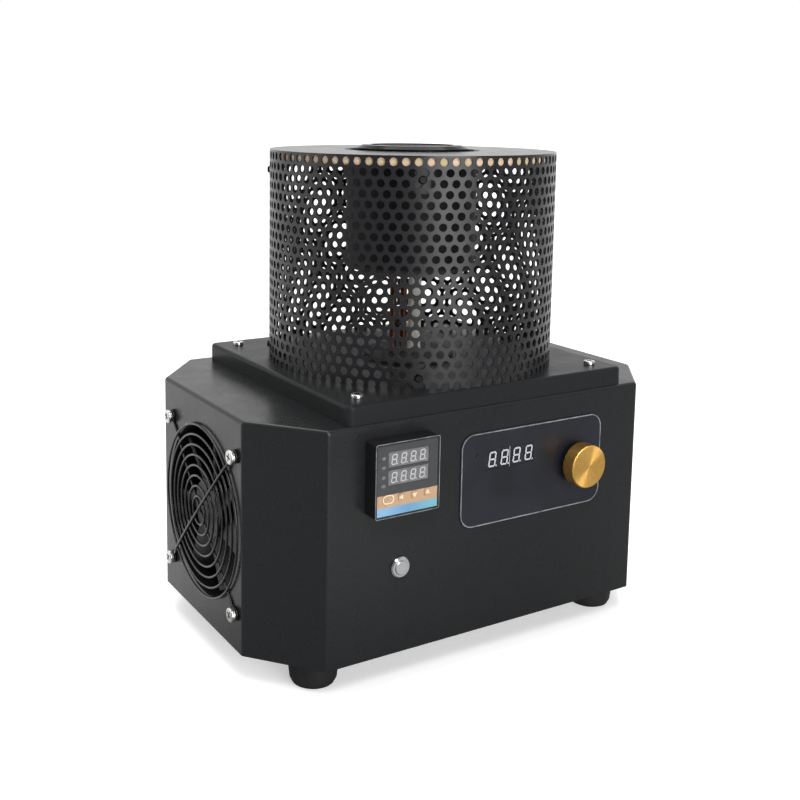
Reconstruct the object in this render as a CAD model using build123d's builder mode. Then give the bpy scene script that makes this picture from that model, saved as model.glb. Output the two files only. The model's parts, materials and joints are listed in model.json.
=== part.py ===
"""Bench-top induction furnace for melting gold.

An eight-sided sheet-steel body stands on four rubber feet. A folded deck on its top carries a
perforated cage, and the crucible hangs in the cage inside its coil. The fan is in the left wall,
the controls are in the front wall, the mains inlet and switch are in the back wall.

Millimetres, +Z up, +X to the right along the front, the front faces -Y. The origin is on the floor
under the middle of the body.
"""

import os
from math import cos, hypot, pi, radians, sin, sqrt

from build123d import *

os.makedirs("parts", exist_ok=True)

# ----------------------------------------------------------------------------- driving sizes
# Clearances
seat_gap = 0.2  # beside pieces that are screwed or clamped in place
running_gap = 0.05  # round a shaft in its bearing
key_gap = 0.1  # round a key or button cap that slides
end_gap = 0.3  # past the end of a stroke
hole_gap = 0.2  # round a screw's shank

# Body: folded sheet with its four upright corners cut off
body_width = 330.0
body_depth = 218.0
body_height = 155.0
corner_leg_x = 37.0
corner_leg_y = 44.5
shell_sheet = 1.2
corner_bend = 3.0
top_bend = 2.5
pan_sheet = 1.5
pan_flange_height = 14.0
shell_screw_height = 8.0
shell_screw_side_spacing = 90.0
shell_screw_back_spacing = 180.0

# Feet
foot_height = 22.0
foot_top_radius = 17.7
foot_bottom_radius = 15.6
foot_edge_radius = 4.5
foot_bore_radius = 5.5
foot_bore_depth = 13.0
foot_spacing_x = 240.0
foot_spacing_y = 156.0

# Screws and nuts
m3_radius = 1.5
m4_radius = 2.0
m4_nut_across = 7.0
m4_nut_height = 3.2
deck_screw_head_radius = 4.0
deck_screw_head_height = 2.6
deck_screw_length = 10.0
fan_screw_head_radius = 4.8
fan_screw_head_height = 3.2
foot_screw_length = 14.0
small_head_radius = 2.8
small_head_height = 1.7
small_screw_length = 4.6

# Deck: a folded pan screwed to the top of the body
deck_width = 228.5
deck_depth = 209.0
deck_rise = 12.8
deck_sheet = 1.5
deck_corner_radius = 5.0
deck_bend = 2.4
deck_offset_x = 1.0
deck_offset_y = -2.5
deck_screw_inset = 16.5
spacer_across = 8.0
deck_opening_radius = 26.0
shell_top_opening_radius = 30.0

# Cage: perforated sheet bent round in narrow flats, two to each column of holes; its pattern is
# coarser than the real sheet's
cage_radius = 103.2
cage_height = 150.5
cage_sheet = 1.2
cage_columns = 28
cage_rows = 7
cage_hole_radius = 8.9
cage_top_band = 8.0
cage_first_azimuth = 240.0
bracket_width = 10.0
bracket_leg = 16.0
bracket_shelf = 13.0
bracket_sheet = 1.5
bracket_screw_drop = 7.0

# Top of the cage
disc_sheet = 1.0
disc_hole_radius = 49.0
top_board_thickness = 7.3
collar_base_radius = 41.0
collar_top_radius = 36.0
collar_bore_radius = 30.3
collar_step_height = 1.2
collar_height = 3.5

# Coil assembly hanging under the mouth
jacket_radius = 47.2
jacket_wall = 2.0
jacket_length = 81.3
base_board_thickness = 5.5
base_board_edge = 2.5
liner_radius = 34.5
liner_wall = 4.2
coil_turns = 6
coil_mean_radius = 38.6
coil_tube_width = 5.0
coil_tube_height = 7.0
coil_pitch = 10.2
coil_steps_per_turn = 16
pad_thickness = 3.0
return_bar_radius = 42.6
return_bar_width = 6.0
return_bar_thickness = 2.0
lead_radius = 2.5
lead_offsets_x = (-14.0, -5.0)
lead_strip_width = 4.0
lead_strip_thickness = 2.0
thermocouple_radius = 4.8
thermocouple_offset_x = 5.0
thermocouple_tail = 12.0
lead_plate_radius = 33.0
lead_plate_thickness = 3.0

# Crucible
crucible_radius = 29.0
crucible_height = 79.0
crucible_wall = 6.5
crucible_floor = 9.0
crucible_lip_chamfer = 1.5
crucible_foot_chamfer = 2.0

# Fan: 120 mm size, its frame behind the left wall and its guard in front
fan_y = -3.0
fan_z = 99.5
fan_size = 120.0
fan_frame_depth = 25.0
fan_corner_radius = 5.0
fan_screw_inset = 7.5
fan_duct_radius = 57.5
fan_strut_width = 5.0
fan_strut_depth = 3.0
fan_motor_radius = 21.0
fan_boss_radius = 5.0
fan_boss_length = 12.0
fan_shaft_radius = 1.6
fan_hub_radius = 20.0
fan_hub_length = 16.0
fan_hub_wall = 1.8
fan_blade_count = 7
fan_blade_tip_radius = 54.5
fan_blade_chord = 21.0
fan_blade_angle = 52.0
fan_blade_camber = 2.6
fan_blade_thickness = 1.6
fan_front_clearance = 2.5
guard_inset = 0.5
guard_ring_pitch = 7.0
guard_ring_count = 8
guard_wire = 1.7
guard_ring_sides = 32
guard_stand = 3.2
guard_eye_radius = 4.6
guard_weld = 0.3

# Temperature controller in the front wall
controller_size = 48.0
controller_left = -101.3
controller_top = 167.6
controller_proud = 12.0
controller_corner = 1.6
controller_body = 44.6
controller_length = 75.0
controller_wall = 1.8
controller_rim = 1.3
controller_face_recess = 0.3
controller_face_thickness = 1.4
controller_display_width = 29.8
controller_display_height = 9.6
controller_display_left = 9.6
controller_display_drops = (6.1, 17.7)
controller_cavity = 41.0
controller_ledge = 1.5
controller_clip_width = 3.6
controller_clip_depth = 8.0
controller_board_thickness = 1.6
controller_board_gap = 1.4
key_first = 9.5
key_pitch = 9.8
key_drop = 35.8
key_size = 4.6
key_oval_width = 7.0
key_oval_height = 4.4
key_proud = 0.4
key_flange = 0.7
key_flange_thickness = 0.8
key_travel = 0.35

# Control panel overlay, power display, status lamp
panel_left = -28.2
panel_width = 122.5
panel_bottom = 95.3
panel_height = 64.5
panel_corner = 10.0
panel_thickness = 0.8
display_x = 12.0
display_z = 140.4
display_width = 41.0
display_height = 13.5
display_depth = 9.0
lamp_x = -14.5
lamp_z = 144.1
lamp_radius = 1.3
panel_board_width = 76.0
panel_board_height = 44.0
panel_board_thickness = 1.6
panel_board_x = 14.0
panel_board_z = 128.0
standoff_across = 5.0
standoff_inset = 4.0
window_recess = 0.2

# Knob on its potentiometer
knob_x = 70.3
knob_z = 127.6
knob_radius = 15.0
knob_length = 10.5
knob_stand = 5.5
knob_rim_chamfer = 0.6
knob_hub_radius = 7.2
knob_hub_start = 3.4
pot_body_radius = 8.2
pot_body_length = 8.0
pot_bushing_radius = 3.5
pot_bushing_reach = 3.0
pot_nut_across = 10.0
pot_nut_height = 1.9
pot_shaft_radius = 3.0
pot_shaft_reach = 13.5
pot_floor = 1.5

# Push button
button_x = -74.6
button_z = 80.2
button_bezel_radius = 7.0
button_bezel_height = 2.2
button_bezel_chamfer = 0.8
button_barrel_radius = 5.9
button_barrel_length = 20.0
button_cap_radius = 4.65
button_cap_proud = 0.9
button_cap_length = 8.0
button_travel = 1.5
button_nut_across = 14.0
button_nut_height = 3.0

# Back wall: mains inlet and rocker switch; right wall: outlet slots
inlet_x = 96.0
inlet_z = 62.0
inlet_flange_width = 30.6
inlet_flange_height = 23.0
inlet_flange_thickness = 2.0
inlet_body_width = 27.0
inlet_body_height = 19.6
inlet_cavity_width = 24.2
inlet_cavity_height = 16.4
inlet_cavity_depth = 16.0
inlet_floor = 3.0
inlet_corner_cut = 4.5
inlet_pin_spacing = 7.0
inlet_pin_rise = 2.0
inlet_pin_width = 2.0
inlet_pin_height = 5.0
inlet_pin_recess = 3.0
rocker_x = 96.0
rocker_z = 98.0
rocker_bezel_width = 15.0
rocker_bezel_height = 21.0
rocker_bezel_thickness = 1.8
rocker_body_width = 12.8
rocker_body_height = 19.2
rocker_body_depth = 13.0
rocker_floor = 3.0
rocker_width = 10.4
rocker_reach = 7.4
rocker_rise = 3.2
rocker_dip = 1.8
rocker_window = 17.2
rocker_pivot_depth = 3.0
rocker_pin_radius = 1.2
rocker_tilt = 10.0
rocker_belly = 5.6
slot_length = 44.0
slot_width = 3.5
slot_pitch = 9.0
slot_count = 9
slot_z = 99.5

# Power electronics on the base pan
board_width = 150.0
board_depth = 118.0
board_thickness = 1.6
board_x = 12.0
board_y = 12.0
board_stand = 8.0
board_inset = 6.0
board_standoff_across = 6.0
sink_length = 90.0
sink_depth = 26.0
sink_height = 52.0
sink_base = 5.0
sink_fin = 2.0
sink_fin_count = 8
sink_x = 34.0
sink_spread = 72.0
transistor_width = 16.0
transistor_height = 20.0
transistor_thickness = 5.0
transistor_pitch = 30.0
capacitor_width = 32.0
capacitor_depth = 20.0
capacitor_height = 37.0
capacitor_x = -40.0
capacitor_pitch = 27.0
terminal_width = 8.0
terminal_height = 16.0
terminal_bore_depth = 6.0

# ----------------------------------------------------------------------------- derived places
body_bottom = foot_height
body_top = body_bottom + body_height
deck_top = body_top + deck_rise
cage_top = deck_top + cage_height
fan_screw_spacing = fan_size - 2 * fan_screw_inset
guard_radius = fan_size / 2 - guard_inset
disc_top = cage_top + disc_sheet
board_underside = cage_top - top_board_thickness
jacket_bottom = cage_top - jacket_length
base_board_bottom = jacket_bottom - base_board_edge
base_board_top = base_board_bottom + base_board_thickness
pan_floor_top = body_bottom + pan_sheet
front_y = -body_depth / 2
back_y = body_depth / 2
left_x = -body_width / 2
right_x = body_width / 2
axis_x = deck_offset_x
axis_y = deck_offset_y

front = Plane(origin=(0, front_y, 0), x_dir=(1, 0, 0), z_dir=(0, -1, 0))
back = Plane(origin=(0, back_y, 0), x_dir=(-1, 0, 0), z_dir=(0, 1, 0))
right = Plane(origin=(right_x, 0, 0), x_dir=(0, 1, 0), z_dir=(1, 0, 0))
fan_wall = Plane(origin=(left_x, fan_y, fan_z), x_dir=(0, -1, 0), z_dir=(-1, 0, 0))


def level(height):
    """A flat plane at this height above the floor, centred on the cage's axis."""
    return Plane(origin=(axis_x, axis_y, height))


def body_outline(inset=0.0):
    """Draws the body's eight-sided outline in the open sketch, with every wall moved in."""
    half_w = body_width / 2
    half_d = body_depth / 2
    corner = [(half_w - corner_leg_x, -half_d), (half_w, -half_d + corner_leg_y)]
    right_side = corner + [(x, -y) for x, y in reversed(corner)]
    left_side = [(-x, -y) for x, y in right_side]
    Polygon(*right_side, *left_side, align=None)
    if inset:
        offset(amount=-inset, kind=Kind.INTERSECTION)


def turned(profile, seat):
    """A solid of revolution from (radius, height) corners, about the Z axis of a plane."""
    with BuildPart() as piece:
        with BuildSketch(Plane(origin=seat.origin, x_dir=seat.x_dir, z_dir=-seat.y_dir)):
            Polygon(*profile, align=None)
        revolve(axis=Axis(seat.origin, seat.z_dir))
    return piece.part


def screw(shank_radius, length, head_radius, head_height):
    """A pan-head screw whose head sits on Z = 0 and whose shank runs down."""
    with BuildPart() as piece:
        with BuildSketch(Plane.XY):
            RegularPolygon(head_radius, 12)
        extrude(amount=head_height, taper=24)
        with BuildSketch(Plane.XY):
            RegularPolygon(shank_radius, 8)
        extrude(amount=-length)
    return piece.part


def hex_nut(across, height, bore_radius):
    """A hexagonal nut or spacer standing on Z = 0."""
    with BuildPart() as piece:
        with BuildSketch(Plane.XY):
            RegularPolygon(across / 2, 6, major_radius=False)
            RegularPolygon(bore_radius, 8, major_radius=False, mode=Mode.SUBTRACT)
        extrude(amount=height)
    return piece.part


def save(piece, name):
    """Labels a finished piece and writes it as parts/name.step."""
    piece.part.label = name
    export_step(piece.part, f"parts/{name}.step")


# ----------------------------------------------------------------------------- housing shell
controller_x = controller_left + controller_size / 2
controller_z = controller_top - controller_size / 2
panel_x = panel_left + panel_width / 2
panel_z = panel_bottom + panel_height / 2
foot_places = GridLocations(foot_spacing_x, foot_spacing_y, 2, 2).locations
screw_z = body_bottom + shell_screw_height
back_screws = [(side * shell_screw_back_spacing / 2, screw_z) for side in (-1, 1)]
side_screws = [(side * shell_screw_side_spacing / 2, screw_z) for side in (-1, 1)]

with BuildPart() as housing_shell:
    with BuildSketch(Plane.XY.offset(body_bottom)):
        body_outline()
    extrude(amount=body_height)
    fillet(housing_shell.edges().filter_by(Axis.Z), radius=corner_bend)
    fillet(housing_shell.edges().group_by(Axis.Z)[-1], radius=top_bend)
    offset(amount=-shell_sheet, openings=housing_shell.faces().sort_by(Axis.Z)[0])
    # front wall: controller, display, lamp, knob and button
    with BuildSketch(front):
        with Locations((controller_x, controller_z)):
            Rectangle(controller_body + 2 * seat_gap, controller_body + 2 * seat_gap)
        with Locations((display_x, display_z)):
            Rectangle(display_width + 2 * seat_gap, display_height + 2 * seat_gap)
        with Locations((lamp_x, lamp_z)):
            Circle(lamp_radius + seat_gap)
        with Locations((knob_x, knob_z)):
            Circle(pot_bushing_radius + seat_gap)
        with Locations((button_x, button_z)):
            Circle(button_barrel_radius + seat_gap)
    extrude(amount=-2 * shell_sheet, mode=Mode.SUBTRACT)
    # left wall: the fan's duct and its four screws
    with BuildSketch(fan_wall):
        Circle(fan_duct_radius)
        with GridLocations(fan_screw_spacing, fan_screw_spacing, 2, 2):
            RegularPolygon(m4_radius + hole_gap, 8, major_radius=False)
    extrude(amount=-2 * shell_sheet, mode=Mode.SUBTRACT)
    # back wall: mains inlet, rocker switch and two shell screws
    with BuildSketch(back):
        with Locations((-inlet_x, inlet_z)):
            Rectangle(inlet_body_width + 2 * seat_gap, inlet_body_height + 2 * seat_gap)
        with Locations((-rocker_x, rocker_z)):
            Rectangle(rocker_body_width + 2 * seat_gap, rocker_body_height + 2 * seat_gap)
        with Locations(*back_screws):
            RegularPolygon(m3_radius + hole_gap, 8, major_radius=False)
    extrude(amount=-2 * shell_sheet, mode=Mode.SUBTRACT)
    # right wall: outlet slots and two shell screws
    with BuildSketch(right):
        with Locations((0, slot_z)):
            with GridLocations(slot_pitch, 0, slot_count, 1):
                Rectangle(slot_width, slot_length)
        with Locations(*side_screws):
            RegularPolygon(m3_radius + hole_gap, 8, major_radius=False)
    extrude(amount=-2 * shell_sheet, mode=Mode.SUBTRACT)
    # roof: the opening under the deck that the coil's leads pass through
    with BuildSketch(level(body_top)):
        Circle(shell_top_opening_radius)
    extrude(amount=-2 * shell_sheet, mode=Mode.SUBTRACT)
save(housing_shell, "housing_shell")

# ----------------------------------------------------------------------------- base pan and feet
pan_inset = shell_sheet + seat_gap
with BuildPart() as base_pan:
    with BuildSketch(Plane.XY.offset(body_bottom)):
        body_outline(pan_inset)
    extrude(amount=pan_flange_height)
    with BuildSketch(Plane.XY.offset(pan_floor_top)):
        body_outline(pan_inset + pan_sheet)
    extrude(amount=pan_flange_height, mode=Mode.SUBTRACT)
    with BuildSketch(Plane.XY.offset(body_bottom)):
        with Locations(*foot_places):
            RegularPolygon(m4_radius + hole_gap, 8, major_radius=False)
    extrude(amount=pan_sheet, mode=Mode.SUBTRACT)
    with BuildSketch(back.offset(-pan_inset)):
        with Locations(*back_screws):
            RegularPolygon(m3_radius + hole_gap, 8, major_radius=False)
    extrude(amount=-pan_sheet, mode=Mode.SUBTRACT)
    with BuildSketch(right.offset(-pan_inset)):
        with Locations(*side_screws):
            RegularPolygon(m3_radius + hole_gap, 8, major_radius=False)
    extrude(amount=-pan_sheet, mode=Mode.SUBTRACT)
save(base_pan, "base_pan")

shell_screw = screw(m3_radius, small_screw_length, small_head_radius, small_head_height)
with BuildPart() as shell_screws:
    with Locations(back):
        with Locations(*back_screws):
            add(shell_screw)
    with Locations(right):
        with Locations(*side_screws):
            add(shell_screw)
save(shell_screws, "shell_screws")

with BuildPart() as foot:
    add(
        turned(
            [
                (0, 0),
                (foot_bottom_radius - foot_edge_radius, 0),
                (foot_bottom_radius - foot_edge_radius / 3, foot_edge_radius / 3),
                (foot_bottom_radius, foot_edge_radius),
                (foot_top_radius, foot_height),
                (0, foot_height),
            ],
            Plane.XY,
        )
    )
    with BuildSketch(Plane.XY):
        RegularPolygon(foot_bore_radius, 12)
    extrude(amount=foot_bore_depth, mode=Mode.SUBTRACT)
    with BuildSketch(Plane.XY):
        RegularPolygon(m4_radius + hole_gap, 8, major_radius=False)
    extrude(amount=foot_height, mode=Mode.SUBTRACT)
with BuildPart() as rubber_feet:
    with Locations(*foot_places):
        add(foot.part)
save(rubber_feet, "rubber_feet")

foot_screw = screw(m4_radius, foot_screw_length, deck_screw_head_radius, deck_screw_head_height)
with BuildPart() as foot_screws:
    with Locations(Plane(origin=(0, 0, foot_bore_depth), x_dir=(1, 0, 0), z_dir=(0, 0, -1))):
        with Locations(*foot_places):
            add(foot_screw)
save(foot_screws, "foot_screws")

with BuildPart() as foot_nuts:
    with Locations(Plane.XY.offset(pan_floor_top)):
        with Locations(*foot_places):
            add(hex_nut(m4_nut_across, m4_nut_height, m4_radius + hole_gap))
save(foot_nuts, "foot_nuts")

# ----------------------------------------------------------------------------- deck
deck_screw_places = GridLocations(
    deck_width - 2 * deck_screw_inset, deck_depth - 2 * deck_screw_inset, 2, 2
).locations
deck_underside = deck_top - deck_sheet
with BuildPart() as deck_plate:
    with BuildSketch(level(body_top)):
        RectangleRounded(deck_width, deck_depth, deck_corner_radius)
    extrude(amount=deck_rise)
    fillet(deck_plate.edges().group_by(Axis.Z)[-1], radius=deck_bend)
    with BuildSketch(level(body_top)):
        RectangleRounded(
            deck_width - 2 * deck_sheet, deck_depth - 2 * deck_sheet, deck_corner_radius - deck_sheet
        )
    extrude(amount=deck_rise - deck_sheet, mode=Mode.SUBTRACT)
    with BuildSketch(level(deck_top)):
        Circle(deck_opening_radius)
        with Locations(*deck_screw_places):
            RegularPolygon(m4_radius + hole_gap, 8, major_radius=False)
    extrude(amount=-deck_sheet, mode=Mode.SUBTRACT)
save(deck_plate, "deck_plate")

with BuildPart() as deck_spacers:
    with Locations(level(body_top)):
        with Locations(*deck_screw_places):
            add(hex_nut(spacer_across, deck_rise - deck_sheet, m4_radius + hole_gap))
save(deck_spacers, "deck_spacers")

with BuildPart() as deck_screws:
    with Locations(level(deck_top)):
        with Locations(*deck_screw_places):
            add(screw(m4_radius, deck_screw_length, deck_screw_head_radius, deck_screw_head_height))
save(deck_screws, "deck_screws")

# ----------------------------------------------------------------------------- cage
cage_flats = 2 * cage_columns
cage_apothem = cage_radius * cos(pi / cage_flats)
cage_bore_radius = cage_apothem - cage_sheet
cage_column_pitch = 2 * pi * cage_radius / cage_columns
cage_row_pitch = cage_column_pitch * sqrt(3) / 2
first_row_z = cage_top - cage_top_band - cage_hole_radius
base_screw_z = deck_top + bracket_screw_drop
board_screw_z = board_underside - bracket_screw_drop


def around_cage(height, radius, count, first_azimuth):
    """Places evenly round the cage's axis, each with its own X axis pointing outwards."""
    ring = PolarLocations(radius, count, start_angle=first_azimuth).locations
    return [Location(level(height)) * place for place in ring]


with BuildPart() as cage_punch:
    with BuildSketch(Plane.YZ):
        RegularPolygon(cage_hole_radius, 6, rotation=30)
    extrude(amount=2 * cage_sheet, both=True)
with BuildPart() as screw_punch:
    with BuildSketch(Plane.YZ):
        RegularPolygon(m3_radius + hole_gap, 8, major_radius=False)
    extrude(amount=2 * cage_sheet, both=True)
with BuildPart() as cage:
    with BuildSketch(level(deck_top)):
        flat_turn = cage_first_azimuth + 180 / cage_flats
        RegularPolygon(cage_apothem, cage_flats, major_radius=False, rotation=flat_turn)
        RegularPolygon(
            cage_bore_radius, cage_flats, major_radius=False, rotation=flat_turn, mode=Mode.SUBTRACT
        )
    extrude(amount=cage_height)
    for row in range(cage_rows):
        turn = cage_first_azimuth + (1 - row % 2) * 180 / cage_columns
        with Locations(
            *around_cage(first_row_z - row * cage_row_pitch, cage_apothem, cage_columns, turn)
        ):
            add(cage_punch.part, mode=Mode.SUBTRACT)
    for height in (base_screw_z, board_screw_z):
        with Locations(*around_cage(height, cage_apothem, 4, cage_first_azimuth)):
            add(screw_punch.part, mode=Mode.SUBTRACT)
save(cage, "cage")

# angle brackets with one leg against the cage and the other outwards from z = 0
with BuildPart() as bracket:
    with BuildSketch(Plane.XZ):
        Polygon(
            (0, 0),
            (-bracket_shelf, 0),
            (-bracket_shelf, bracket_sheet),
            (-bracket_sheet, bracket_sheet),
            (-bracket_sheet, bracket_leg),
            (0, bracket_leg),
            align=None,
        )
    extrude(amount=bracket_width / 2, both=True)
    with Locations((0, 0, bracket_screw_drop)):
        add(screw_punch.part, mode=Mode.SUBTRACT)
with BuildPart() as cage_brackets:
    with Locations(*around_cage(deck_top, cage_bore_radius - seat_gap, 4, cage_first_azimuth)):
        add(bracket.part)
save(cage_brackets, "cage_brackets")

with BuildPart() as board_brackets:
    with Locations(*around_cage(board_underside, cage_bore_radius - seat_gap, 4, cage_first_azimuth)):
        with Locations(Plane(origin=(0, 0, 0), x_dir=(1, 0, 0), z_dir=(0, 0, -1))):
            add(bracket.part)
save(board_brackets, "board_brackets")

with BuildPart() as radial_screw:
    with Locations(Plane.YZ):
        add(screw(m3_radius, small_screw_length, small_head_radius, small_head_height))
with BuildPart() as cage_screws:
    for height in (base_screw_z, board_screw_z):
        with Locations(*around_cage(height, cage_apothem, 4, cage_first_azimuth)):
            add(radial_screw.part)
save(cage_screws, "cage_screws")

# ----------------------------------------------------------------------------- top of the cage
with BuildPart() as top_board:
    with BuildSketch(level(board_underside)):
        Circle(cage_bore_radius - seat_gap)
        Circle(jacket_radius + seat_gap, mode=Mode.SUBTRACT)
    extrude(amount=top_board_thickness)
save(top_board, "top_board")

with BuildPart() as top_disc:
    with BuildSketch(level(cage_top)):
        Circle(cage_radius)
        Circle(disc_hole_radius, mode=Mode.SUBTRACT)
    extrude(amount=disc_sheet)
save(top_disc, "top_disc")

with BuildPart() as mouth_collar:
    add(
        turned(
            [
                (collar_bore_radius, disc_top),
                (collar_base_radius, disc_top),
                (collar_base_radius, disc_top + collar_step_height),
                (collar_top_radius, disc_top + collar_height),
                (collar_bore_radius, disc_top + collar_height),
            ],
            level(0),
        )
    )
save(mouth_collar, "mouth_collar")

# ----------------------------------------------------------------------------- coil assembly
jacket_bore = jacket_radius - jacket_wall
with BuildPart() as coil_jacket:
    with BuildSketch(level(jacket_bottom)):
        Circle(jacket_radius)
    extrude(amount=jacket_length)
    # the jacket hangs on this rim, in the disc's hole
    with BuildSketch(level(cage_top)):
        Circle(disc_hole_radius - seat_gap)
    extrude(amount=disc_sheet)
    with BuildSketch(level(jacket_bottom)):
        Circle(jacket_bore)
    extrude(amount=jacket_length + disc_sheet, mode=Mode.SUBTRACT)
save(coil_jacket, "coil_jacket")

lead_post = (-coil_mean_radius, 0)
return_post = (-return_bar_width / 2, return_bar_radius)
with BuildPart() as coil_base_board:
    with BuildSketch(level(base_board_bottom)):
        Circle(jacket_radius)
    extrude(amount=base_board_edge)
    with BuildSketch(level(jacket_bottom)):
        Circle(jacket_bore - seat_gap)
    extrude(amount=base_board_thickness - base_board_edge)
    with BuildSketch(level(base_board_bottom)):
        with Locations((thermocouple_offset_x, 0)):
            Circle(thermocouple_radius + seat_gap)
        with Locations(lead_post):
            Circle(lead_radius + seat_gap)
        with Locations(return_post):
            Rectangle(return_bar_width + 2 * seat_gap, return_bar_thickness + 2 * seat_gap)
    extrude(amount=base_board_thickness, mode=Mode.SUBTRACT)
save(coil_base_board, "coil_base_board")

with BuildPart() as ceramic_liner:
    with BuildSketch(level(base_board_top)):
        Circle(liner_radius)
        Circle(liner_radius - liner_wall, mode=Mode.SUBTRACT)
    extrude(amount=disc_top - base_board_top)
save(ceramic_liner, "ceramic_liner")

with BuildPart() as crucible_pad:
    with BuildSketch(level(base_board_top)):
        Circle(liner_radius - liner_wall - seat_gap)
        with Locations((thermocouple_offset_x, 0)):
            Circle(thermocouple_radius + seat_gap, mode=Mode.SUBTRACT)
    extrude(amount=pad_thickness)
save(crucible_pad, "crucible_pad")


def helix_point(turn):
    """A point on the coil's centre line after this many turns, and the direction there."""
    angle = pi + 2 * pi * turn
    rise = coil_pitch / (2 * pi)
    place = Vector(
        axis_x + coil_mean_radius * cos(angle),
        axis_y + coil_mean_radius * sin(angle),
        coil_start_z + coil_pitch * turn,
    )
    heading = Vector(-coil_mean_radius * sin(angle), coil_mean_radius * cos(angle), rise)
    return place, heading.normalized()


# the coil starts at its left and ends three quarters of a turn on, at its back
coil_start_z = base_board_top + coil_tube_height / 2 + end_gap
coil_length_turns = int(round(coil_turns)) + 0.75
coil_end_z = coil_start_z + coil_pitch * coil_length_turns
coil_steps = int(coil_length_turns * coil_steps_per_turn)
with BuildPart() as induction_coil:
    for step in range(coil_steps + 1):
        place, heading = helix_point(step / coil_steps_per_turn)
        outward = Vector(place.X - axis_x, place.Y - axis_y, 0)
        with BuildSketch(Plane(origin=place, x_dir=outward, z_dir=heading)):
            Rectangle(coil_tube_width, coil_tube_height)
    loft(ruled=True)
save(induction_coil, "induction_coil")

half_turn = coil_steps_per_turn // 2
coil_points = [helix_point(step / coil_steps_per_turn)[0] for step in range(coil_steps + 1)]
coil_gap = min(
    (far - near).length - coil_tube_height
    for index, near in enumerate(coil_points)
    for far in coil_points[index + half_turn :]
)
bar_gap = return_bar_radius - return_bar_thickness / 2 - coil_mean_radius - coil_tube_width / 2
print(f"coil: {coil_gap:.2f} mm between turns, {bar_gap:.2f} mm from the return bar")

strip_bottom = base_board_bottom - lead_strip_thickness
board_top = pan_floor_top + board_stand + board_thickness
lead_bottom = board_top + terminal_height - terminal_bore_depth
with BuildPart() as coil_leads:
    # post through the base board to the underside of the coil's lower end
    with BuildSketch(level(strip_bottom)):
        with Locations(lead_post):
            RegularPolygon(lead_radius, 12)
    extrude(amount=coil_start_z - coil_tube_height / 2 - strip_bottom)
    # flat bar through the base board and up beside the turns, with a tab to the coil's upper end
    with BuildSketch(level(strip_bottom)):
        with Locations(return_post):
            Rectangle(return_bar_width, return_bar_thickness)
    extrude(amount=coil_end_z + coil_tube_height / 2 - strip_bottom)
    with BuildSketch(level(coil_end_z - coil_tube_height / 2)):
        with Locations((-(return_bar_width + seat_gap) / 2, (coil_mean_radius + return_bar_radius) / 2)):
            Rectangle(return_bar_width - seat_gap, return_bar_radius - coil_mean_radius)
    extrude(amount=coil_tube_height)
    for offset_x, post in zip(lead_offsets_x, (lead_post, return_post)):
        # strip along the underside of the base board, from the post to the lead
        run_x = post[0] - offset_x
        run_y = post[1]
        run = hypot(run_x, run_y)
        lead_top = Vector(axis_x + offset_x, axis_y, base_board_bottom)
        with BuildSketch(Plane(origin=lead_top, x_dir=(run_x, run_y, 0), z_dir=(0, 0, -1))):
            with Locations((run / 2, 0)):
                Rectangle(run, lead_strip_width)
        extrude(amount=lead_strip_thickness)
        # upright lead down to its terminal on the power board
        with BuildSketch(level(lead_bottom)):
            with Locations((offset_x, 0)):
                RegularPolygon(lead_radius, 12)
        extrude(amount=base_board_bottom - lead_bottom)
save(coil_leads, "coil_leads")

with BuildPart() as thermocouple_tube:
    with BuildSketch(level(deck_top - thermocouple_tail)):
        with Locations((thermocouple_offset_x, 0)):
            Circle(thermocouple_radius)
    extrude(amount=base_board_top + pad_thickness - deck_top + thermocouple_tail)
save(thermocouple_tube, "thermocouple_tube")

with BuildPart() as lead_plate:
    with BuildSketch(level(deck_top)):
        Circle(lead_plate_radius)
        for offset_x in lead_offsets_x:
            with Locations((offset_x, 0)):
                RegularPolygon(lead_radius + seat_gap, 12, mode=Mode.SUBTRACT)
        with Locations((thermocouple_offset_x, 0)):
            Circle(thermocouple_radius + seat_gap, mode=Mode.SUBTRACT)
    extrude(amount=lead_plate_thickness)
save(lead_plate, "lead_plate")

# ----------------------------------------------------------------------------- crucible
crucible_bottom = base_board_top + pad_thickness
crucible_top = crucible_bottom + crucible_height
cavity_radius = crucible_radius - crucible_wall
with BuildPart() as crucible:
    add(
        turned(
            [
                (0, crucible_bottom),
                (crucible_radius - crucible_foot_chamfer, crucible_bottom),
                (crucible_radius, crucible_bottom + crucible_foot_chamfer),
                (crucible_radius, crucible_top),
                (cavity_radius + crucible_lip_chamfer, crucible_top),
                (cavity_radius, crucible_top - crucible_lip_chamfer),
                (cavity_radius, crucible_bottom + crucible_floor),
                (0, crucible_bottom + crucible_floor),
            ],
            level(0),
        )
    )
save(crucible, "crucible")

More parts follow.
